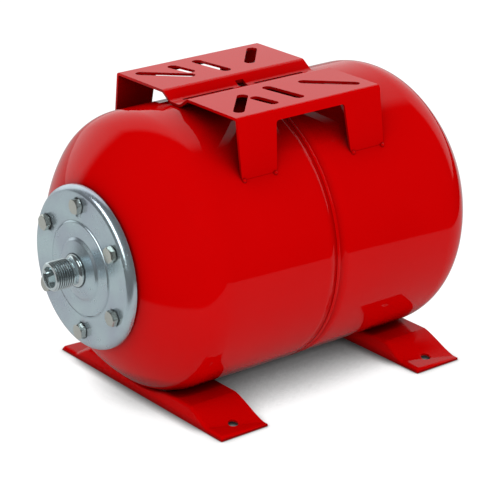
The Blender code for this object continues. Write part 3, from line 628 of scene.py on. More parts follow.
# --- the tank ------------------------------------------------------------------------------------------
@dataclass
class TankShell:
    """The two pressed halves and the weld that joins them."""

    place: Place
    radius: float = 0.129
    wall: float = 0.0015
    front_straight: float = 0.115
    rear_straight: float = 0.1315
    knuckle: float = 0.0426
    crown: float = 0.1585
    seat_radius: float = 0.067
    mouth_radius: float = 0.046
    valve_hole: float = 0.0043
    weld_toe: float = 0.0017
    weld_width: float = 0.00065
    weld_proud: float = 0.00045
    weld_feather: float = 0.00002
    seam_half: float = 0.0003
    weld_swings: tuple[tuple[float, float], ...] = ((37, 0.3), (61, 1.9), (113, 0.8), (171, 2.6))
    weld_swing: float = 0.18
    weld_wanders: tuple[tuple[float, float], ...] = ((23, 1.1), (47, 2.2))
    weld_wander: float = 0.15
    weld_steps: tuple[int, int] = (25, 720)
    bolt_circle: float = 0.059
    bolt_hole: float = 0.0046
    seat_step: float = 0.0012
    segments: int = 256
    knuckle_steps: int = 28
    crown_steps: int = 36

    @property
    def head_angle(self) -> float:
        """Angle from the axis at which the crown meets the knuckle."""
        return float(np.arcsin((self.radius - self.knuckle) / (self.crown - self.knuckle)))

    @property
    def head_depth(self) -> float:
        """How far a head bulges past its tangent line."""
        return self.crown - (self.crown - self.knuckle) * np.cos(self.head_angle)

    @property
    def seat_x(self) -> float:
        """The flat seat's place from the seam."""
        level = np.sqrt(self.crown**2 - self.seat_radius**2)
        return -self.front_straight - (self.head_depth - self.crown + level)

    def head(self, inset: float, stop_radius: float) -> Array:
        """Profile of a head: a knuckle arc, then a crown arc down to stop_radius.

        Args:
            inset: how far inside the outer surface.
            stop_radius: where the crown stops.

        Returns:
            (n, 2) of distance past the tangent line and radius.
        """
        knuckle, crown, turn = self.knuckle - inset, self.crown - inset, self.head_angle
        a = np.linspace(0, np.pi / 2 - turn, self.knuckle_steps)
        first = np.stack([knuckle * np.sin(a), self.radius - self.knuckle + knuckle * np.cos(a)], 1)
        b = np.linspace(turn, np.arcsin(stop_radius / crown), self.crown_steps)[1:]
        second = np.stack([self.head_depth - self.crown + crown * np.cos(b), crown * np.sin(b)], 1)
        return np.vstack([first, second])

    def radius_at(self, x: Array) -> Array:
        """Outside radius of the tank at a distance x from the seam, without the flat seat."""
        past = np.maximum(np.maximum(x - self.rear_straight, -self.front_straight - x), 0)
        knuckle = self.radius - self.knuckle + np.sqrt(np.maximum(self.knuckle**2 - past**2, 0))
        level = past + self.crown - self.head_depth
        crown = np.sqrt(np.maximum(self.crown**2 - level**2, 0))
        return np.where(past <= self.knuckle * np.cos(self.head_angle), knuckle, crown)

    def underside(self, x: Array, y: Array) -> Array:
        """Height of the tank's lower surface over the floor at (x from the seam, y)."""
        return self.place.axis_z - np.sqrt(np.maximum(self.radius_at(x) ** 2 - y**2, 0))

    def front_mesh(self) -> Mesh:
        """The front half: straight, knuckle, crown, a rounded step onto the flat seat, the mouth."""
        edge, tangent, seat = -self.seam_half, -self.front_straight, self.seat_x
        outer = self.head(0, self.seat_radius + self.seat_step) * [-1, 1] + [tangent, 0]
        inner = self.head(self.wall, self.seat_radius - self.wall / 2) * [-1, 1] + [tangent, 0]
        lip = [(seat, self.seat_radius - self.seat_step), (seat, self.mouth_radius),
               (seat + self.wall, self.mouth_radius), (seat + self.wall, inner[-1][1])]
        straight = level_line(edge, tangent, self.radius)[:-1]
        lining = level_line(tangent, edge, self.radius - self.wall)[1:]
        profile = np.vstack([straight, outer, lip, inner[::-1], lining])
        mesh = turned_mesh("front_shell", profile, self.segments)
        places = bolt_places(self.bolt_circle)
        return cut_away(mesh, [hole_tool(self.bolt_hole, seat, seat + self.wall, p) for p in places])

    def rear_mesh(self) -> Mesh:
        """The rear half, with the hole for the air valve."""
        edge, tangent = self.seam_half, self.rear_straight
        outer, inner = (self.head(inset, self.valve_hole) + [tangent, 0] for inset in (0, self.wall))
        straight = level_line(edge, tangent, self.radius)[:-1]
        lining = level_line(tangent, edge, self.radius - self.wall)[1:]
        profile = np.vstack([straight, outer, inner[::-1], lining])
        return turned_mesh("rear_shell", profile, self.segments)

    def weld_mesh(self) -> Mesh:
        """The painted bead: a low swell whose toes feather out over both halves.

        At x across and angle a round, it stands proud exp(-(x / width)^2) (1 + swing ripple(a)) over the
        tank, and its middle wanders by a share of its width. Its root fills the seam between the halves.
        """
        rows, count = self.weld_steps
        across = np.linspace(-1, 1, rows)[:, None] * self.weld_toe
        angle = round_angles(count)
        swing = 1 + self.weld_swing * ripple(angle, self.weld_swings)
        wander = self.weld_wander * self.weld_width * ripple(angle, self.weld_wanders)
        height = self.weld_proud * np.exp(-(((across - wander) / self.weld_width) ** 2)) * swing
        radius = self.radius + self.weld_feather + height
        x = np.broadcast_to(across, radius.shape)
        low = self.radius - self.wall
        half = self.seam_half
        root = np.array([(half, self.radius), (half, low), (-half, low), (-half, self.radius)])
        x = np.vstack([x, np.broadcast_to(root[:, :1], (4, count))])
        radius = np.vstack([radius, np.broadcast_to(root[:, 1:], (4, count))])
        return spun_mesh("girth_weld", x, radius, sharp=60)

    def build(self) -> None:
        """Adds both halves and the weld."""
        meshes = {
            "front_shell": self.front_mesh(), "rear_shell": self.rear_mesh(), "girth_weld": self.weld_mesh()
        }
        for name, mesh in meshes.items():
            add_piece(name + "_skin", self.place.on_axis(mesh), ENAMEL, "tank", name)


def bolt_places(radius: float, count: int = 6) -> Array:
    """(y, z) of each cover bolt from the tank's axis, one at the top and one at the bottom."""
    angle = np.pi / 2 + 2 * np.pi * np.arange(count) / count
    return radius * np.stack([np.cos(angle), np.sin(angle)], 1)


def hole_tool(radius: float, low: float, high: float, centre: Array, count: int = 48) -> Mesh:
    """A round tool along X through what lies between low and high."""
    return prism_mesh("hole", circle(radius, count) + centre, 0, low - TOOL_PAST, high + TOOL_PAST)


# --- the mouth: cover, nipple, bolts, bladder ---
@dataclass
class FlangeCover:
    """The pressed cover with its groove, step and boss, the threaded nipple and the bolts."""

    shell: TankShell
    radius: float = 0.075
    sheet: float = 0.0035
    rim: float = 0.0032
    shoulder: float = 0.0062
    rim_depth: float = 0.0012
    rim_split: float = 0.001
    boss_room: float = 0.0006
    thread_runout: float = 0.0004
    bead_radius: float = 0.044
    bead_half: float = 0.0014
    bead_depth: float = 0.0004
    disc_rise: float = 0.0008
    step_radius: float = 0.0275
    step: float = 0.0018
    boss_height: float = 0.0045
    boss_radius: float = 0.0169
    thread_radius: float = 0.01322
    thread_pitch: float = 0.002309
    thread_depth: float = 0.00116
    thread_length: float = 0.0188
    thread_steps: tuple[int, int] = (150, 160)
    thread_crest: float = 0.12
    fade_in: tuple[float, float] = (0.0002, 0.0012)
    fade_out: float = 0.0014
    lead: tuple[float, float] = (0.0003, 0.0006)
    nipple_reach: float = 0.0323
    neck_radius: float = 0.0117
    bore_radius: float = 0.0095
    collar: float = 0.003
    sweep: float = 0.0033
    flare_edge: float = 0.0008
    edge_round: float = 0.0003
    bolt_radius: float = 0.004
    bolt_length: float = 0.020
    head_flats: float = 0.013
    head_height: float = 0.0055
    head_turns: tuple[float, ...] = (12, 41, 5, 27, 18, 50)

    @property
    def back_x(self) -> float:
        """The cover's back face from the seam."""
        return self.shell.seat_x - TOUCH_GAP - self.rim - TOUCH_GAP

    @property
    def face_x(self) -> float:
        """The bolt face from the seam."""
        return self.back_x - self.sheet

    @property
    def tip_x(self) -> float:
        """The boss's outer end from the seam."""
        return self.face_x - self.disc_rise - self.boss_height

    def cover_mesh(self) -> Mesh:
        """The pressed cover, with six round holes: each corner below is (x, radius, rounding)."""
        face, disc, tip = self.face_x, self.face_x - self.disc_rise, self.tip_x
        rim_x = self.shell.seat_x + self.rim_depth
        hole = self.neck_radius + TOUCH_GAP
        bead, half = self.bead_radius, self.bead_half
        boss = disc - self.step
        rim_middle, inside = self.radius - self.rim_split, self.radius - self.sheet
        outer = rounded([
            (rim_x, rim_middle, 0), (rim_x, self.radius, 0.0004), (face, self.radius, self.shoulder),
            (face, bead + half, 0.0016), (face + self.bead_depth, bead, 0.0012), (disc, bead - half, 0.0016),
            (disc, self.step_radius + 0.0016, 0.0018), (boss, self.step_radius - 0.0012, 0.0022),
            (tip + 0.0004, self.boss_radius, 0.0012), (tip, self.boss_radius - 0.0016, 0), (tip, hole, 0),
        ])
        inner = rounded([
            (tip, hole, 0), (tip + self.sheet, hole, 0),
            (tip + self.sheet, self.boss_radius + self.boss_room, 0.001),
            (self.back_x - self.disc_rise, self.step_radius - self.step, 0.0012),
            (self.back_x, bead + 0.0006, 0.0012), (self.back_x, inside, 0.0015), (rim_x, inside, 0.0004),
            (rim_x, rim_middle, 0),
        ])
        mesh = turned_mesh("flange_cover", np.vstack([outer, inner[1:-1]]), self.shell.segments)
        centres = bolt_places(self.shell.bolt_circle)
        return cut_away(mesh, [hole_tool(self.shell.bolt_hole, face, self.back_x, p) for p in centres])

    def nipple_mesh(self) -> Mesh:
        """The water connection with a true helical thread, flared over the cover.

        On the thread, the radius at distance x from the end and angle a is
        root + depth f(x / pitch - a / 2 pi), where f is a rounded triangle wave, faded in at the start
        and out at the end. The first stretch is turned down a little as a lead.
        """
        end = self.face_x - self.nipple_reach
        collar_front = self.tip_x + self.sheet + TOUCH_GAP
        collar_back = collar_front + self.collar
        root = self.thread_radius - self.thread_depth
        angle = round_angles(self.thread_steps[1])
        along = np.linspace(0, self.thread_length, self.thread_steps[0])[:, None]
        phase = along / self.thread_pitch - angle / (2 * np.pi)
        crest = 1 + self.thread_crest * (1 - np.cos(4 * np.pi * phase))
        wave = np.clip(0.5 + 0.5 * np.sin(2 * np.pi * phase) * crest, 0, 1)
        fade = smooth_step((along - self.fade_in[0]) / self.fade_in[1])
        fade = fade * smooth_step((self.thread_length - along) / self.fade_out)
        thread = root + wave * self.thread_depth * fade
        thread = thread - self.lead[0] * (1 - smooth_step(along / self.lead[1]))
        flare_back, flare = self.tip_x - TOUCH_GAP, self.neck_radius + self.sweep + self.edge_round
        flare_front = flare_back - self.flare_edge
        collar_radius = self.boss_radius + self.boss_room - TOUCH_GAP
        neck, bore, mouth = self.neck_radius, self.bore_radius, self.edge_round
        plain = rounded([
            (end + self.thread_length + self.thread_runout, neck, 0), (flare_front, neck, self.sweep),
            (flare_front, flare, mouth), (flare_back, flare, mouth), (flare_back, neck, 0),
            (collar_front, neck, 0), (collar_front, collar_radius, 0), (collar_back, collar_radius, 0),
            (collar_back, bore, 0), (end + mouth, bore, 0), (end, bore + mouth, 0),
        ])
        radius = np.vstack([thread, np.broadcast_to(plain[:, 1:], (len(plain), self.thread_steps[1]))])
        return spun_mesh("nipple", np.vstack([end + along, plain[:, :1]]), radius, sharp=60)

    def bolt_mesh(self, turn: float) -> Mesh:
        """A hexagon bolt, its head turned by some degrees about its own axis."""
        mesh = hexagon_mesh(self.head_flats, self.head_height, self.bolt_radius, self.bolt_length)
        flip = Matrix.Rotation(np.pi, 4, "Z") @ Matrix.Rotation(np.radians(turn), 4, "X")
        mesh.transform(Matrix.Translation((self.face_x - TOUCH_GAP, 0, 0)) @ flip)
        return mesh

    def build(self) -> None:
        """Adds the cover, the nipple and the six bolts."""
        place = self.shell.place
        add_piece("flange_cover_plate", place.on_axis(self.cover_mesh()), ZINC, "tank", "flange_cover")
        add_piece("nipple_thread", place.on_axis(self.nipple_mesh()), BRIGHT_ZINC, "tank", "nipple")
        for k, (y, z) in enumerate(bolt_places(self.shell.bolt_circle), 1):
            mesh = place.on_axis(move(self.bolt_mesh(self.head_turns[k - 1]), (0, float(y), float(z))))
            add_piece(f"cover_bolt_{k}_hex", mesh, BOLT_ZINC, "tank", f"cover_bolt_{k}")


HEAD_TOP = 0.97  # the flat top of a hexagon head, as a share of its width across flats
HEAD_EDGE = 0.00022  # the rounding of its edges
HEAD_LEAN = np.radians(30)  # the slope of its chamfer
HEAD_STEPS = 96  # round its chamfer
SHANK_STEPS = 48  # round a shank
SHANK_SUNK = 0.0002  # how far a shank starts inside its head
SHANK_BEVEL = (0.0008, 0.0007)  # the bevel at a shank's end, along and across


def hexagon_mesh(flats: float, height: float, shank: float = 0.0, length: float = 0.0) -> Mesh:
    """A hexagon head standing along +X from x = 0, chamfered round its top, with a shank behind it.

    The chamfer is a cone that meets the flats' middles at the top and leans back by 30 degrees.

    Args:
        flats: width across flats.
        height: of the head.
        shank: radius of the shank, 0 for none.
        length: of the shank, along -X.

    Returns:
        The closed mesh.
    """
    body = prism_mesh("head", circle(flats / 2 / np.cos(np.pi / 6), 6), 0, 0, height)
    top, wide = flats / 2 * HEAD_TOP, flats
    slope = (wide - top) * np.tan(HEAD_LEAN)
    low = -TOOL_PAST
    limit = np.array([(low, 0), (low, wide), (height - slope, wide), (height, top), (height, 0)])
    mesh = soften_edges(cut_away(body, [turned_mesh("limit", limit, HEAD_STEPS)], "INTERSECT"), HEAD_EDGE, 20)
    if not shank:
        return mesh
    sunk, (back, down) = SHANK_SUNK, SHANK_BEVEL
    rod = np.array([(sunk, 0), (sunk, shank), (back - length, shank), (-length, shank - down), (-length, 0)])
    bolt = joined_mesh("bolt", [mesh, turned_mesh("shank", rod, SHANK_STEPS)])
    bolt.set_sharp_from_angle(angle=np.radians(25))
    return bolt


@dataclass
class Bladder:
    """The rubber bag inside the tank."""

    shell: TankShell
    wall: float = 0.002
    rim: float = 0.0032
    rim_width: float = 0.0065
    neck_gap: float = 0.0025
    side_gap: float = 0.0395
    end_gap: float = 0.1044
    cap: float = 0.075
    neck_end: float = 0.0123
    neck_length: float = 0.012
    widening: float = 0.042
    rib_height: float = 0.0006
    ribs: int = 14
    swell_steps: int = 24
    body_steps: int = 180
    cap_steps: int = 30
    segments: int = 160

    def build(self) -> None:
        """Adds the bag: a neck, an eased widening, a ribbed body and an elliptic end.

        Between neck and body the radius eases by 3 s^2 - 2 s^3, and low ribs run round the body.
        """
        shell = self.shell
        rim_front = shell.seat_x - TOUCH_GAP - self.rim
        rim_back = rim_front + self.rim
        neck = shell.mouth_radius - self.neck_gap
        body = shell.radius - shell.wall - self.side_gap
        end = shell.rear_straight + shell.head_depth - self.end_gap
        neck_end = shell.seat_x + self.neck_end
        shoulder = neck_end + self.neck_length
        s = np.linspace(0, 1, self.swell_steps)
        swell = np.stack([shoulder + self.widening * s, neck + (body - neck) * smooth_step(s)], 1)
        straight_x = np.linspace(shoulder + self.widening, end - self.cap, self.body_steps)[1:-1]
        share = (straight_x - straight_x[0]) / np.ptp(straight_x)
        rib = self.rib_height * np.clip(np.sin(np.pi * self.ribs * share), 0, 1) ** 4
        straight = np.stack([straight_x, body - rib], 1)
        a = np.linspace(0, np.pi / 2, self.cap_steps)
        cap = np.stack([end - self.cap + self.cap * np.sin(a), body * np.cos(a)], 1)
        cap[-1, 1] = 0
        side = np.vstack([[neck_end, neck], swell, straight, cap])
        lining = side - [0, self.wall]
        lining[-len(a):, 0] = end - self.cap + (self.cap - self.wall) * np.sin(a)
        lining[-len(a):, 1] = (body - self.wall) * np.cos(a)
        lining[-1, 1] = 0
        width = shell.mouth_radius + self.rim_width
        rim = [[rim_front, neck - self.wall], [rim_front, width], [rim_back, width], [rim_back, neck]]
        mesh = turned_mesh("bladder", np.vstack([rim, side, lining[::-1]]), self.segments, sharp=50)
        add_piece("bladder_bag", shell.place.on_axis(mesh), RUBBER, "tank", "bladder")


# --- pump bracket ---
@dataclass
class PumpBracket:
    """One pressed sheet: two slotted platforms, a sunk strip between them, four legs."""

    shell: TankShell
    sheet: float = 0.0025
    offset: float = -0.0024
    length: float = 0.1616
    half_width: float = 0.090
    rise: float = 0.01065
    strip_half: float = 0.0068
    slope_run: float = 0.0115
    strip_bend: float = 0.006
    edge_bend: float = 0.0032
    leg_splay: float = 0.007
    leg_overlap: float = 0.0014
    leg_top: float = 0.0423
    leg_foot: float = 0.0385
    leg_band: float = 0.0096
    window_corner: float = 0.003
    slot_width: float = 0.0100
    end_slots: tuple[tuple[float, ...], ...] = (  # end, side, inset in X, inset in Y, length, angle
        (-1, -1, 0.0293, 0.0327, 0.0540, 48),
        (1, -1, 0.0313, 0.0335, 0.0560, 135),
        (-1, 1, 0.0306, 0.0333, 0.0555, 135),
        (1, 1, 0.0314, 0.0323, 0.0530, 49),
    )
    middle_slots: tuple[tuple[float, ...], ...] = (  # place in X, side, inset in Y, length, angle
        (-0.0294, -1, 0.0275, 0.0300, 100),
        (-0.0010, -1, 0.0365, 0.0475, 98),
        (-0.0286, 1, 0.0284, 0.0310, 101),
        (0.0000, 1, 0.0363, 0.0475, 98),
    )
    strip_slot_start: float = 0.01145
    strip_slot_end: float = 0.01185
    strip_slot_width: float = 0.003
    strip_slot_y: float = 0.0045
    relief: tuple[float, float, float] = (0.009, 0.0027, 0.0122)
    edge: float = 0.00045
    tack: float = 0.0021
    tack_steps: int = 20
    clearance_steps: int = 720

    @property
    def top(self) -> float:
        """Height of the platforms."""
        return self.shell.place.axis_z + self.shell.radius + self.rise

    @property
    def strip_top(self) -> float:
        """Height of the sunk strip's upper face."""
        return self.shell.place.axis_z + self.shell.radius + TOUCH_GAP + self.sheet

    @property
    def leg_y(self) -> float:
        """How far out the legs end."""
        return self.half_width + self.leg_splay

    @property
    def leg_bottom(self) -> float:
        """Height at which the legs end, before they are cut to the tank."""
        reach = np.sqrt(self.shell.radius**2 - self.leg_y**2)
        return self.shell.place.axis_z + reach - self.leg_overlap

    @property
    def middle_x(self) -> float:
        """The bracket's middle in the frame."""
        return self.shell.place.seam_x + self.offset

    def path(self) -> Array:
        """(y, z) of the top surface, from the far leg's foot over the strip to the near one's."""
        near = [
            (self.leg_y, self.leg_bottom, 0), (self.half_width, self.top, self.edge_bend),
            (self.strip_half + self.slope_run, self.top, self.strip_bend),
            (self.strip_half, self.strip_top, self.strip_bend),
        ]
        return rounded([(-y, z, bend) for y, z, bend in near] + near[::-1])

    def slot_tool(self, x: float, y: float, length: float, width: float, angle: float) -> Mesh:
        """A slot with round ends, cut straight down through the sheet.

        Args:
            x: middle of the slot from the bracket's middle.
            y: middle of the slot across the tank.
            length: whole length.
            width: of the slot.
            angle: of the slot from X, in degrees.

        Returns:
            The tool.
        """
        a = np.linspace(-np.pi / 2, np.pi / 2, 19)
        end = np.stack([np.cos(a) * width / 2 + length / 2 - width / 2, np.sin(a) * width / 2], 1)
        outline = np.vstack([end, -end])
        t = np.radians(angle)
        turn = np.array([[np.cos(t), np.sin(t)], [-np.sin(t), np.cos(t)]])
        outline = outline @ turn + [x + self.middle_x, y]
        return prism_mesh("slot", outline, 2, self.strip_top - 2 * self.sheet, self.top + self.sheet)

    def slot_tools(self) -> list[Mesh]:
        """Every slot in the platforms and the strip, and the relief over the weld."""
        half = self.length / 2
        wide = self.half_width
        slots = [
            (end * (half - in_x), side * (wide - in_y), length, angle)
            for end, side, in_x, in_y, length, angle in self.end_slots
        ]
        slots += [(x, side * (wide - in_y), *rest) for x, side, in_y, *rest in self.middle_slots]
        tools = [self.slot_tool(x, y, length, self.slot_width, angle) for x, y, length, angle in slots]
        length = half - self.strip_slot_start - self.strip_slot_end
        for end in (-1, 1):
            x = end * (self.strip_slot_start + length / 2)
            tools.append(self.slot_tool(x, self.strip_slot_y, length, self.strip_slot_width, 0))
        width, start, stop = self.relief
        corners = np.array([(-width / 2, start), (width / 2, start), (width / 2, stop), (-width / 2, stop)])
        low, high = self.strip_top - 2 * self.sheet, self.top + self.sheet
        tools.append(prism_mesh("relief", corners + [self.middle_x, 0], 2, low, high))
        return tools

    def window_tool(self) -> Mesh:
        """The opening between the legs, through both sides, with rounded upper corners."""
        top, low = self.top - self.leg_band, self.leg_bottom - self.leg_band
        half_top = self.length / 2 - self.leg_top
        half_low = half_top + (self.leg_top - self.leg_foot) * (top - low) / (top - self.leg_bottom)
        corner = self.window_corner
        corners = [(-half_low, low, 0), (-half_top, top, corner), (half_top, top, corner), (half_low, low, 0)]
        outline = rounded(corners) + [self.middle_x, 0]
        reach = self.leg_y + self.leg_band
        return prism_mesh("window", outline, 1, -reach, reach)

    def clearance_tool(self) -> Mesh:
        """The tank's cylinder, a little larger, so that the legs end on its surface."""
        radius, end = self.shell.radius + TOUCH_GAP, self.length
        profile = np.array([(-end, 0), (-end, radius), (end, radius), (end, 0)])
        return self.shell.place.on_axis(turned_mesh("clearance", profile, self.clearance_steps))

    def tacks_mesh(self) -> Mesh:
        """The weld tacks at the corners of the legs' ends, each a low ball on the tank's surface."""
        a = np.linspace(0, np.pi, self.tack_steps // 2 + 1)
        ball = np.stack([-np.cos(a), np.sin(a)], 1) * self.tack
        ball[[0, -1], 1] = 0
        height = self.shell.place.axis_z + np.sqrt(self.shell.radius**2 - self.leg_y**2)
        outer, inner = self.length / 2 - self.tack, self.length / 2 - self.leg_foot + self.tack
        return joined_mesh("tacks", [
            move(turned_mesh("tack", ball, self.tack_steps), (self.middle_x + x, side * self.leg_y, height))
            for x in (-outer, -inner, inner, outer)
            for side in (-1, 1)
        ])

    def build(self) -> None:
        """Adds the bracket and its weld tacks."""
        outline = sheet_outline(self.path(), self.sheet)
        half = self.length / 2
        mesh = prism_mesh("bracket", outline, 0, self.middle_x - half, self.middle_x + half)
        mesh = cut_away(mesh, [*self.slot_tools(), self.window_tool(), self.clearance_tool()])
        mesh = soften_edges(mesh, self.edge, 40)
        add_piece("pump_bracket_sheet", mesh, ENAMEL, "tank", "pump_bracket")
        add_piece("bracket_tacks", self.tacks_mesh(), ENAMEL, "tank")


# --- feet ---
@dataclass
class Feet:
    """Two pressed feet, each one sheet with a skirt turned down along its -X side."""

    shell: TankShell
    sheet: float = 0.002
    width: float = 0.0515
    front_inset: float = 0.0102
    rear_inset: float = 0.0055
    half_length: float = 0.1269
    top: float = 0.017
    fall_inset: float = 0.0469
    pad_length_skirt: float = 0.0229
    pad_length_open: float = 0.0059
    pad_height_skirt: float = 0.0045
    pad_height_open: float = 0.0022
    skirt_bend: float = 0.003
    tip_bend: float = 0.003
    fall_ease: float = 0.4
    hole_radius: float = 0.0047
    hole_steps: int = 64
    hole_inset: float = 0.0171
    crease: float = 0.0006
    edge: float = 0.0004
    level_half: float = 0.060
    long_steps: tuple[int, int, int] = (48, 67, 8)
    across_steps: int = 40
    bend_steps: int = 8

    def height(self, foot_x: float, x: Array, y: Array) -> Array:
        """Height of the top surface at (x from the foot's middle, y).

        It stands level, falls to the pad between fall_inset and the pad's length from the tip, turns down
        at the tip by the square of the last stretch, and follows the tank where that is lower, softly.
        """
        across = np.clip((x + self.width / 2 - self.skirt_bend) / (self.width - self.skirt_bend), 0, 1)
        from_tip = self.half_length - np.abs(y)
        pad_length = self.pad_length_skirt + (self.pad_length_open - self.pad_length_skirt) * across
        pad = self.pad_height_skirt + (self.pad_height_open - self.pad_height_skirt) * across
        share = np.clip((self.fall_inset - from_tip) / (self.fall_inset - pad_length), 0, 1)
        eased = share + (smooth_step(share) - share) * self.fall_ease
        height = self.top + (pad - self.top) * eased
        tip = np.clip(1 - from_tip / self.tip_bend, 0, 1) ** 2
        height = height + (self.pad_height_open - height) * tip
        tank = self.shell.underside(foot_x + x, y) - 2 * TOUCH_GAP
        return soft_lower(height, tank, self.crease)

    def mesh(self, name: str, foot_x: float) -> Mesh:
        """One foot, with its two bolt holes.

        Args:
            name: the mesh's name.
            foot_x: the foot's middle from the seam.

        Returns:
            The foot in the frame.
        """
        middle = foot_x + self.shell.place.seam_x
        mesh = move(ring_mesh(name, self.sections(foot_x)), (middle, 0, 0))
        outline = circle(self.hole_radius, self.hole_steps) + [middle, 0]
        places = [(0, side * (self.half_length - self.hole_inset)) for side in (-1, 1)]
        tools = [prism_mesh("hole", outline + place, 2, -self.sheet, self.top) for place in places]
        return soften_edges(cut_away(mesh, tools), self.edge, 40)

    def sections(self, foot_x: float) -> Array:
        """(sections, points, 3) of a foot, closer together towards its tips.

        Args:
            foot_x: the foot's middle from the seam.

        Returns:
            For every y, the points over the top, down the skirt, and back inside.
        """
        half, skirt_x = self.half_length, -self.width / 2
        stops = (0, self.level_half, half - self.tip_bend, half)
        spans = zip(stops, stops[1:], self.long_steps)
        side = np.concatenate([np.linspace(start, end, steps + 1)[1:] for start, end, steps in spans])
        y = np.concatenate([-side[::-1], [0], side])[:, None]
        x_top = np.linspace(self.width / 2, skirt_x + self.skirt_bend, self.across_steps)[None, :]
        z_top = self.height(foot_x, x_top, y)
        edge = z_top[:, -1:]
        a = np.linspace(0, np.pi / 2, self.bend_steps + 1)[None, 1:]
        bend = np.minimum(self.skirt_bend, edge - TOUCH_GAP)
        x_bend = np.broadcast_to(skirt_x + self.skirt_bend * (1 - np.sin(a)), (len(y), self.bend_steps))
        z_bend = edge - bend * (1 - np.cos(a))
        inside = self.skirt_bend - self.sheet
        inner_bend = np.maximum(bend - self.sheet, TOUCH_GAP)
        x_inner = np.broadcast_to(skirt_x + self.sheet + inside * (1 - np.sin(a)), (len(y), self.bend_steps))
        z_inner = np.maximum(edge - self.sheet - inner_bend * (1 - np.cos(a)), 0)
        column = np.ones((len(y), 1))
        x_rows = np.hstack([np.broadcast_to(x_top, z_top.shape), x_bend, column * skirt_x,
                            column * (skirt_x + self.sheet), x_inner[:, ::-1],
                            np.broadcast_to(x_top[:, ::-1], z_top.shape)])
        z_rows = np.hstack([z_top, z_bend, column * 0, column * 0, z_inner[:, ::-1],
                            np.maximum(z_top - self.sheet, 0)[:, ::-1]])
        return np.stack([x_rows, np.broadcast_to(y, x_rows.shape), z_rows], 2)

    def build(self) -> None:
        """Adds both feet."""
        for name, x in (
            ("front_foot", -self.shell.front_straight + self.front_inset),
            ("rear_foot", self.shell.rear_straight - self.rear_inset),
        ):
            add_piece(name + "_plate", self.mesh(name, x), FOOT_ENAMEL, "tank", name)


# --- air valve ---
@dataclass
class AirValve:
    """The stem, nut and cap on the rear head."""

    shell: TankShell
    radius: float = 0.004
    nut_flats: float = 0.013
    nut_height: float = 0.0045
    reach: float = 0.016
    cap_radius: float = 0.0075
    cap_wall: float = 0.0014
    cap_seal: float = 0.0012
    grips: int = 12
    grip_depth: float = 0.0005
    grip_fade: float = 0.0012
    cap_support: float = 0.0002
    cap_edge: float = 0.0004
    cap_round: float = 0.0014
    cap_steps: int = 192
    slide_gap: float = 0.0004

    @property
    def apex_x(self) -> float:
        """The rear head's apex from the seam."""
        return self.shell.rear_straight + self.shell.head_depth

    def cap_mesh(self) -> Mesh:
        """The cap: fluted side, rounded end, plain bore; flutes are cosine hollows round the side."""
        bore = self.radius + self.slide_gap
        mouth = self.apex_x + self.nut_height + 2 * TOUCH_GAP
        floor = self.apex_x + self.reach + TOUCH_GAP + self.cap_seal + TOUCH_GAP
        end = floor + self.cap_wall
        side, edge, turn = self.cap_radius, self.cap_edge, self.cap_round
        outer = rounded([(mouth, bore, 0), (mouth, side, edge), (end, side, turn), (end, 0.0, 0)])
        support = self.cap_support
        bore_line = [(floor, 0.0), (floor, bore), (floor - support, bore), (mouth + support, bore)]
        profile = np.vstack([outer, bore_line])
        x, radius, fade = profile[:, 0:1], profile[:, 1:2], self.grip_fade
        on_side = smooth_step((radius - bore - fade) / fade) * smooth_step((end - fade / 2 - x) / fade)
        hollow = self.grip_depth * (0.5 - 0.5 * np.cos(self.grips * round_angles(self.cap_steps))) * on_side
        return spun_mesh("cap", x, radius - hollow, sharp=50)

    def nut_mesh(self) -> Mesh:
        """A hexagon nut, chamfered on its outer side, with a round bore."""
        start = self.apex_x + TOUCH_GAP
        mesh = move(hexagon_mesh(self.nut_flats, self.nut_height), (start, 0, 0))
        bore = hole_tool(self.radius + TOUCH_GAP, start, start + self.nut_height, np.zeros(2))
        mesh = cut_away(mesh, [bore])
        mesh.set_sharp_from_angle(angle=np.radians(30))
        return mesh

    def build(self) -> None:
        """Adds the nut and the cap."""
        place = self.shell.place
        add_piece("valve_nut_hex", place.on_axis(self.nut_mesh()), BRASS, "tank", "valve_nut")
        add_piece("valve_cap_fluted", place.on_axis(self.cap_mesh()), CAP_PLASTIC, "cap", "valve_cap")


# --- studio ---
def stand(obj: bpy.types.Object, right: Array, up: Array, back: Array, place: Array) -> None:
    """Puts an object in the scene at a place, with its own X, Y and Z along right, up and back."""
    matrix = np.eye(4)
    matrix[:3] = np.stack([right, up, back, place], 1)
    obj.matrix_world = Matrix(matrix.tolist())
    bpy.context.scene.collection.objects.link(obj)


def grey(level: float) -> tuple[float, float, float, float]:
    """A neutral colour with full alpha."""
    return (level, level, level, 1)


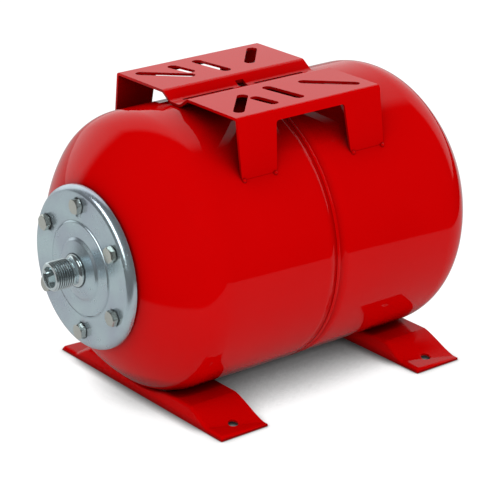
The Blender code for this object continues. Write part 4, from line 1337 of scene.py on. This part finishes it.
@dataclass(frozen=True)
class Lamp:
    """A rectangular lamp pointed at the tank's middle.

    Attributes:
        name: the lamp's name.
        place: where it stands.
        size: its width and height.
        power: in watts.
        turn: about its own axis, in degrees.
        shown_by: names of the only pieces whose gloss shows it; with none it lights all matt surfaces.
    """

    name: str
    place: tuple[float, float, float]
    size: tuple[float, float]
    power: float
    turn: float = 0.0
    shown_by: tuple[str, ...] = ()

    def build(self) -> None:
        """Adds the lamp."""
        data = bpy.data.lights.new(self.name, "AREA")
        data.shape, data.size, data.size_y, data.energy = "RECTANGLE", *self.size, self.power
        lamp = bpy.data.objects.new(self.name, data)
        back = np.array(self.place) / np.linalg.norm(self.place)
        is_overhead = abs(back[2]) > OVERHEAD
        side = np.cross([0.0, 1.0, 0.0] if is_overhead else [0.0, 0.0, 1.0], back)
        side /= np.linalg.norm(side)
        stand(lamp, side, np.cross(back, side), back, self.place)
        lamp.matrix_world @= Matrix.Rotation(np.radians(self.turn), 4, "Z")
        lamp.visible_glossy, lamp.visible_diffuse = bool(self.shown_by), not self.shown_by
        lamp.visible_camera = False
        if self.shown_by:
            lit = bpy.data.collections.new("lit_by_" + self.name)
            for piece in self.shown_by:
                lit.objects.link(bpy.data.objects[piece])
            lamp.light_linking.receiver_collection = lit


@dataclass
class Studio:
    """The camera, the lamps, the floor and the sky.

    Attributes:
        azimuth, elevation, roll: the camera's angles, in degrees.
        aim, distance, lens: what it looks at, from how far, and its focal length in millimetres.
        dome: the sky's level for matt surfaces.
        room, backdrop: for gloss, how far behind the tank the dark room ends and the white begins.
        room_level: the dark room's level.
        table_edges: (x, y, limit) of each side of the sheet that gloss sees under the tank.
        table_fade: half the width of the sheet's soft edge.
        table_gloss: the sheet's level.
        bounce_level, seen_level: how much of the light the floor gives back, to surfaces and to the eye.
        contact_reach, contact_power, contact_level: the wide painted contact shadow's reach, depth and gain.
        near_reach, near_power: the same for the narrow painted shadow right under an edge.
        floor_size: half the floor's width.
    """

    azimuth: float = -37.92
    elevation: float = 21.27
    roll: float = -0.2
    aim: tuple[float, float, float] = (-0.01364, -0.01108, 0.11558)
    distance: float = 1.92747
    lens: float = 149.36
    sensor: float = 36.0
    far: float = 50.0
    dome: float = 0.76
    room: float = 0.36
    backdrop: float = 0.52
    room_level: float = 0.006
    table_edges: tuple[tuple[float, float, float], ...] = ((0.67, -0.74, 0.55), (-0.82, -0.57, 0.40))
    table_fade: float = 0.015
    table_gloss: float = 0.57
    bounce_level: float = 0.8
    seen_level: float = 0.12
    contact_reach: float = 0.16
    contact_power: float = 1.75
    contact_level: float = 4.4
    near_reach: float = 0.012
    near_power: float = 2.2
    floor_size: float = 30.0
    lamps: tuple[Lamp, ...] = (
        Lamp("top", (0.3, 0.3, 3.0), (2.6, 2.6), 8),
        Lamp("front", (-1.5, -2.1, 1.5), (2.4, 2.4), 20),
        Lamp("side", (-1.70, -0.155, 1.27), (2.3, 0.75), 24, -32, ("flange_cover_plate",)),
        Lamp("glint", (-1.70, -0.155, 1.27), (1.2, 0.30), 5, -32, ("nipple_thread",)),
    )

    def camera(self) -> None:
        """Adds the camera, looking down at the tank's front and near side."""
        az, el, roll = np.radians([self.azimuth, self.elevation, self.roll])
        back = np.array([np.sin(az) * np.cos(el), -np.cos(az) * np.cos(el), np.sin(el)])
        level = np.array([np.cos(az), np.sin(az), 0.0])
        rise = np.cross(back, level)
        right = level * np.cos(roll) + rise * np.sin(roll)
        up = -level * np.sin(roll) + rise * np.cos(roll)
        data = bpy.data.cameras.new("camera")
        data.lens, data.sensor_width, data.clip_end = self.lens, self.sensor, self.far
        camera = bpy.data.objects.new("camera", data)
        stand(camera, right, up, back, np.array(self.aim) + back * self.distance)
        bpy.context.scene.camera = camera

    def sky(self) -> None:
        """A white world to the eye, an even dome to matt surfaces, and a dark room to gloss.

        In the dark room, gloss sees a white backdrop behind the tank.
        """
        world = bpy.data.worlds.new("studio")
        bpy.context.scene.world = world
        graph = NodeGraph(world)
        turn = np.radians(self.azimuth)
        direction = graph.add("TexCoord").outputs["Generated"]
        behind = graph.add("VectorMath", "DOT_PRODUCT", _0=direction, _1=(-np.sin(turn), np.cos(turn), 0))
        dark, white = (self.room_level,) * 3, (1, 1, 1)
        ramp = graph.ramp(behind.outputs["Value"], (self.room, dark), (self.backdrop, white))
        ramp.color_ramp.interpolation = "EASE"
        rays = graph.add("LightPath").outputs
        unseen = graph.mix(rays["Is Glossy Ray"], grey(self.dome), ramp.outputs["Color"])
        colour = graph.mix(rays["Is Camera Ray"], unseen, grey(1))
        graph.put(colour, graph.tree.nodes["Background"].inputs["Color"])

    def floor_material(self) -> Material:
        """White paper, lit past white to the eye, with a painted neutral contact shadow under the tank.

        The eye sees a bright matt floor and a glowing share that fades where the ground is closed in: a
        painted shadow, added to the matt floor's own shadow. Gloss sees only the table's sheet, squared to
        the camera, in a dark room.
        """
        material = bpy.data.materials.new("floor")
        graph = NodeGraph(material)
        nodes = graph.tree.nodes
        nodes.remove(nodes["Principled BSDF"])
        place = graph.add("TexCoord").outputs["Object"]
        sheet: object = self.table_gloss
        for x, y, limit in self.table_edges:
            along = graph.add("VectorMath", "DOT_PRODUCT", _0=place, _1=(x, y, 0)).outputs["Value"]
            inside = graph.add(
                "MapRange", Value=along, From_Min=limit + self.table_fade, From_Max=limit - self.table_fade
            )
            sheet = graph.math("MULTIPLY", sheet, inside.outputs[0])
        rays = graph.add("LightPath").outputs
        level = graph.mix(rays["Is Camera Ray"], grey(self.bounce_level), grey(self.seen_level))
        matt = graph.add("BsdfDiffuse", Color=graph.mix(rays["Is Glossy Ray"], level, sheet))
        # Painted shadow: the floor's glow to the eye dims where the tank and feet close the ground in, wide
        # and narrow.
        wide = graph.openness(self.contact_reach, self.contact_power)
        seen = graph.math("MULTIPLY", wide, rays["Is Camera Ray"])
        strength = graph.add("Math", "MULTIPLY", _0=seen, _1=self.contact_level)
        strength.use_clamp = True
        narrow = graph.openness(self.near_reach, self.near_power)
        glow_with_painted_shadow = graph.add("Emission", Strength=graph.math("MULTIPLY", strength.outputs[0], narrow))
        total = graph.add("AddShader", _0=matt.outputs[0], _1=glow_with_painted_shadow.outputs[0])
        graph.put(total.outputs[0], nodes["Material Output"].inputs["Surface"])
        return material

    def floor(self) -> None:
        """The floor, at z = 0."""
        corners = self.floor_size * np.array([(-1, -1, 0), (1, -1, 0), (1, 1, 0), (-1, 1, 0)])
        mesh = bpy.data.meshes.new("floor")
        mesh.from_pydata(corners.tolist(), [], [(0, 1, 2, 3)])
        mesh.materials.append(self.floor_material())
        floor = bpy.data.objects.new("floor", mesh)
        bpy.context.scene.collection.objects.link(floor)

    def build(self) -> None:
        """Sets the whole studio."""
        bpy.context.scene.view_settings.view_transform = "Standard"
        self.camera()
        self.sky()
        self.floor()
        for lamp in self.lamps:
            lamp.build()


def dress_solids() -> None:
    """Gives every solid its slot's finish; those that stay visible show it."""
    for entry in frame["record"]["subparts"]:
        obj = frame["nodes"][entry["node"]]
        obj.data.materials.clear()
        obj.data.materials.append(material_of(SLOT_FINISHES[entry["material_slot"]]))


def squash_spring() -> None:
    """Gives the valve's spring its own copy of its mesh."""
    spring = frame["nodes"]["valve_spring"]
    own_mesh(spring)


def main() -> None:
    """Builds the tank's pieces in order and sets the studio."""
    logging.basicConfig(level=logging.INFO, format="%(name)s %(message)s")
    dress_solids()
    squash_spring()
    shell = TankShell(Place.from_frame())
    shell.build()
    for assembly in (FlangeCover, Bladder, PumpBracket, Feet, AirValve):
        assembly(shell).build()
    Studio().build()


if __name__ == "__main__":
    main()
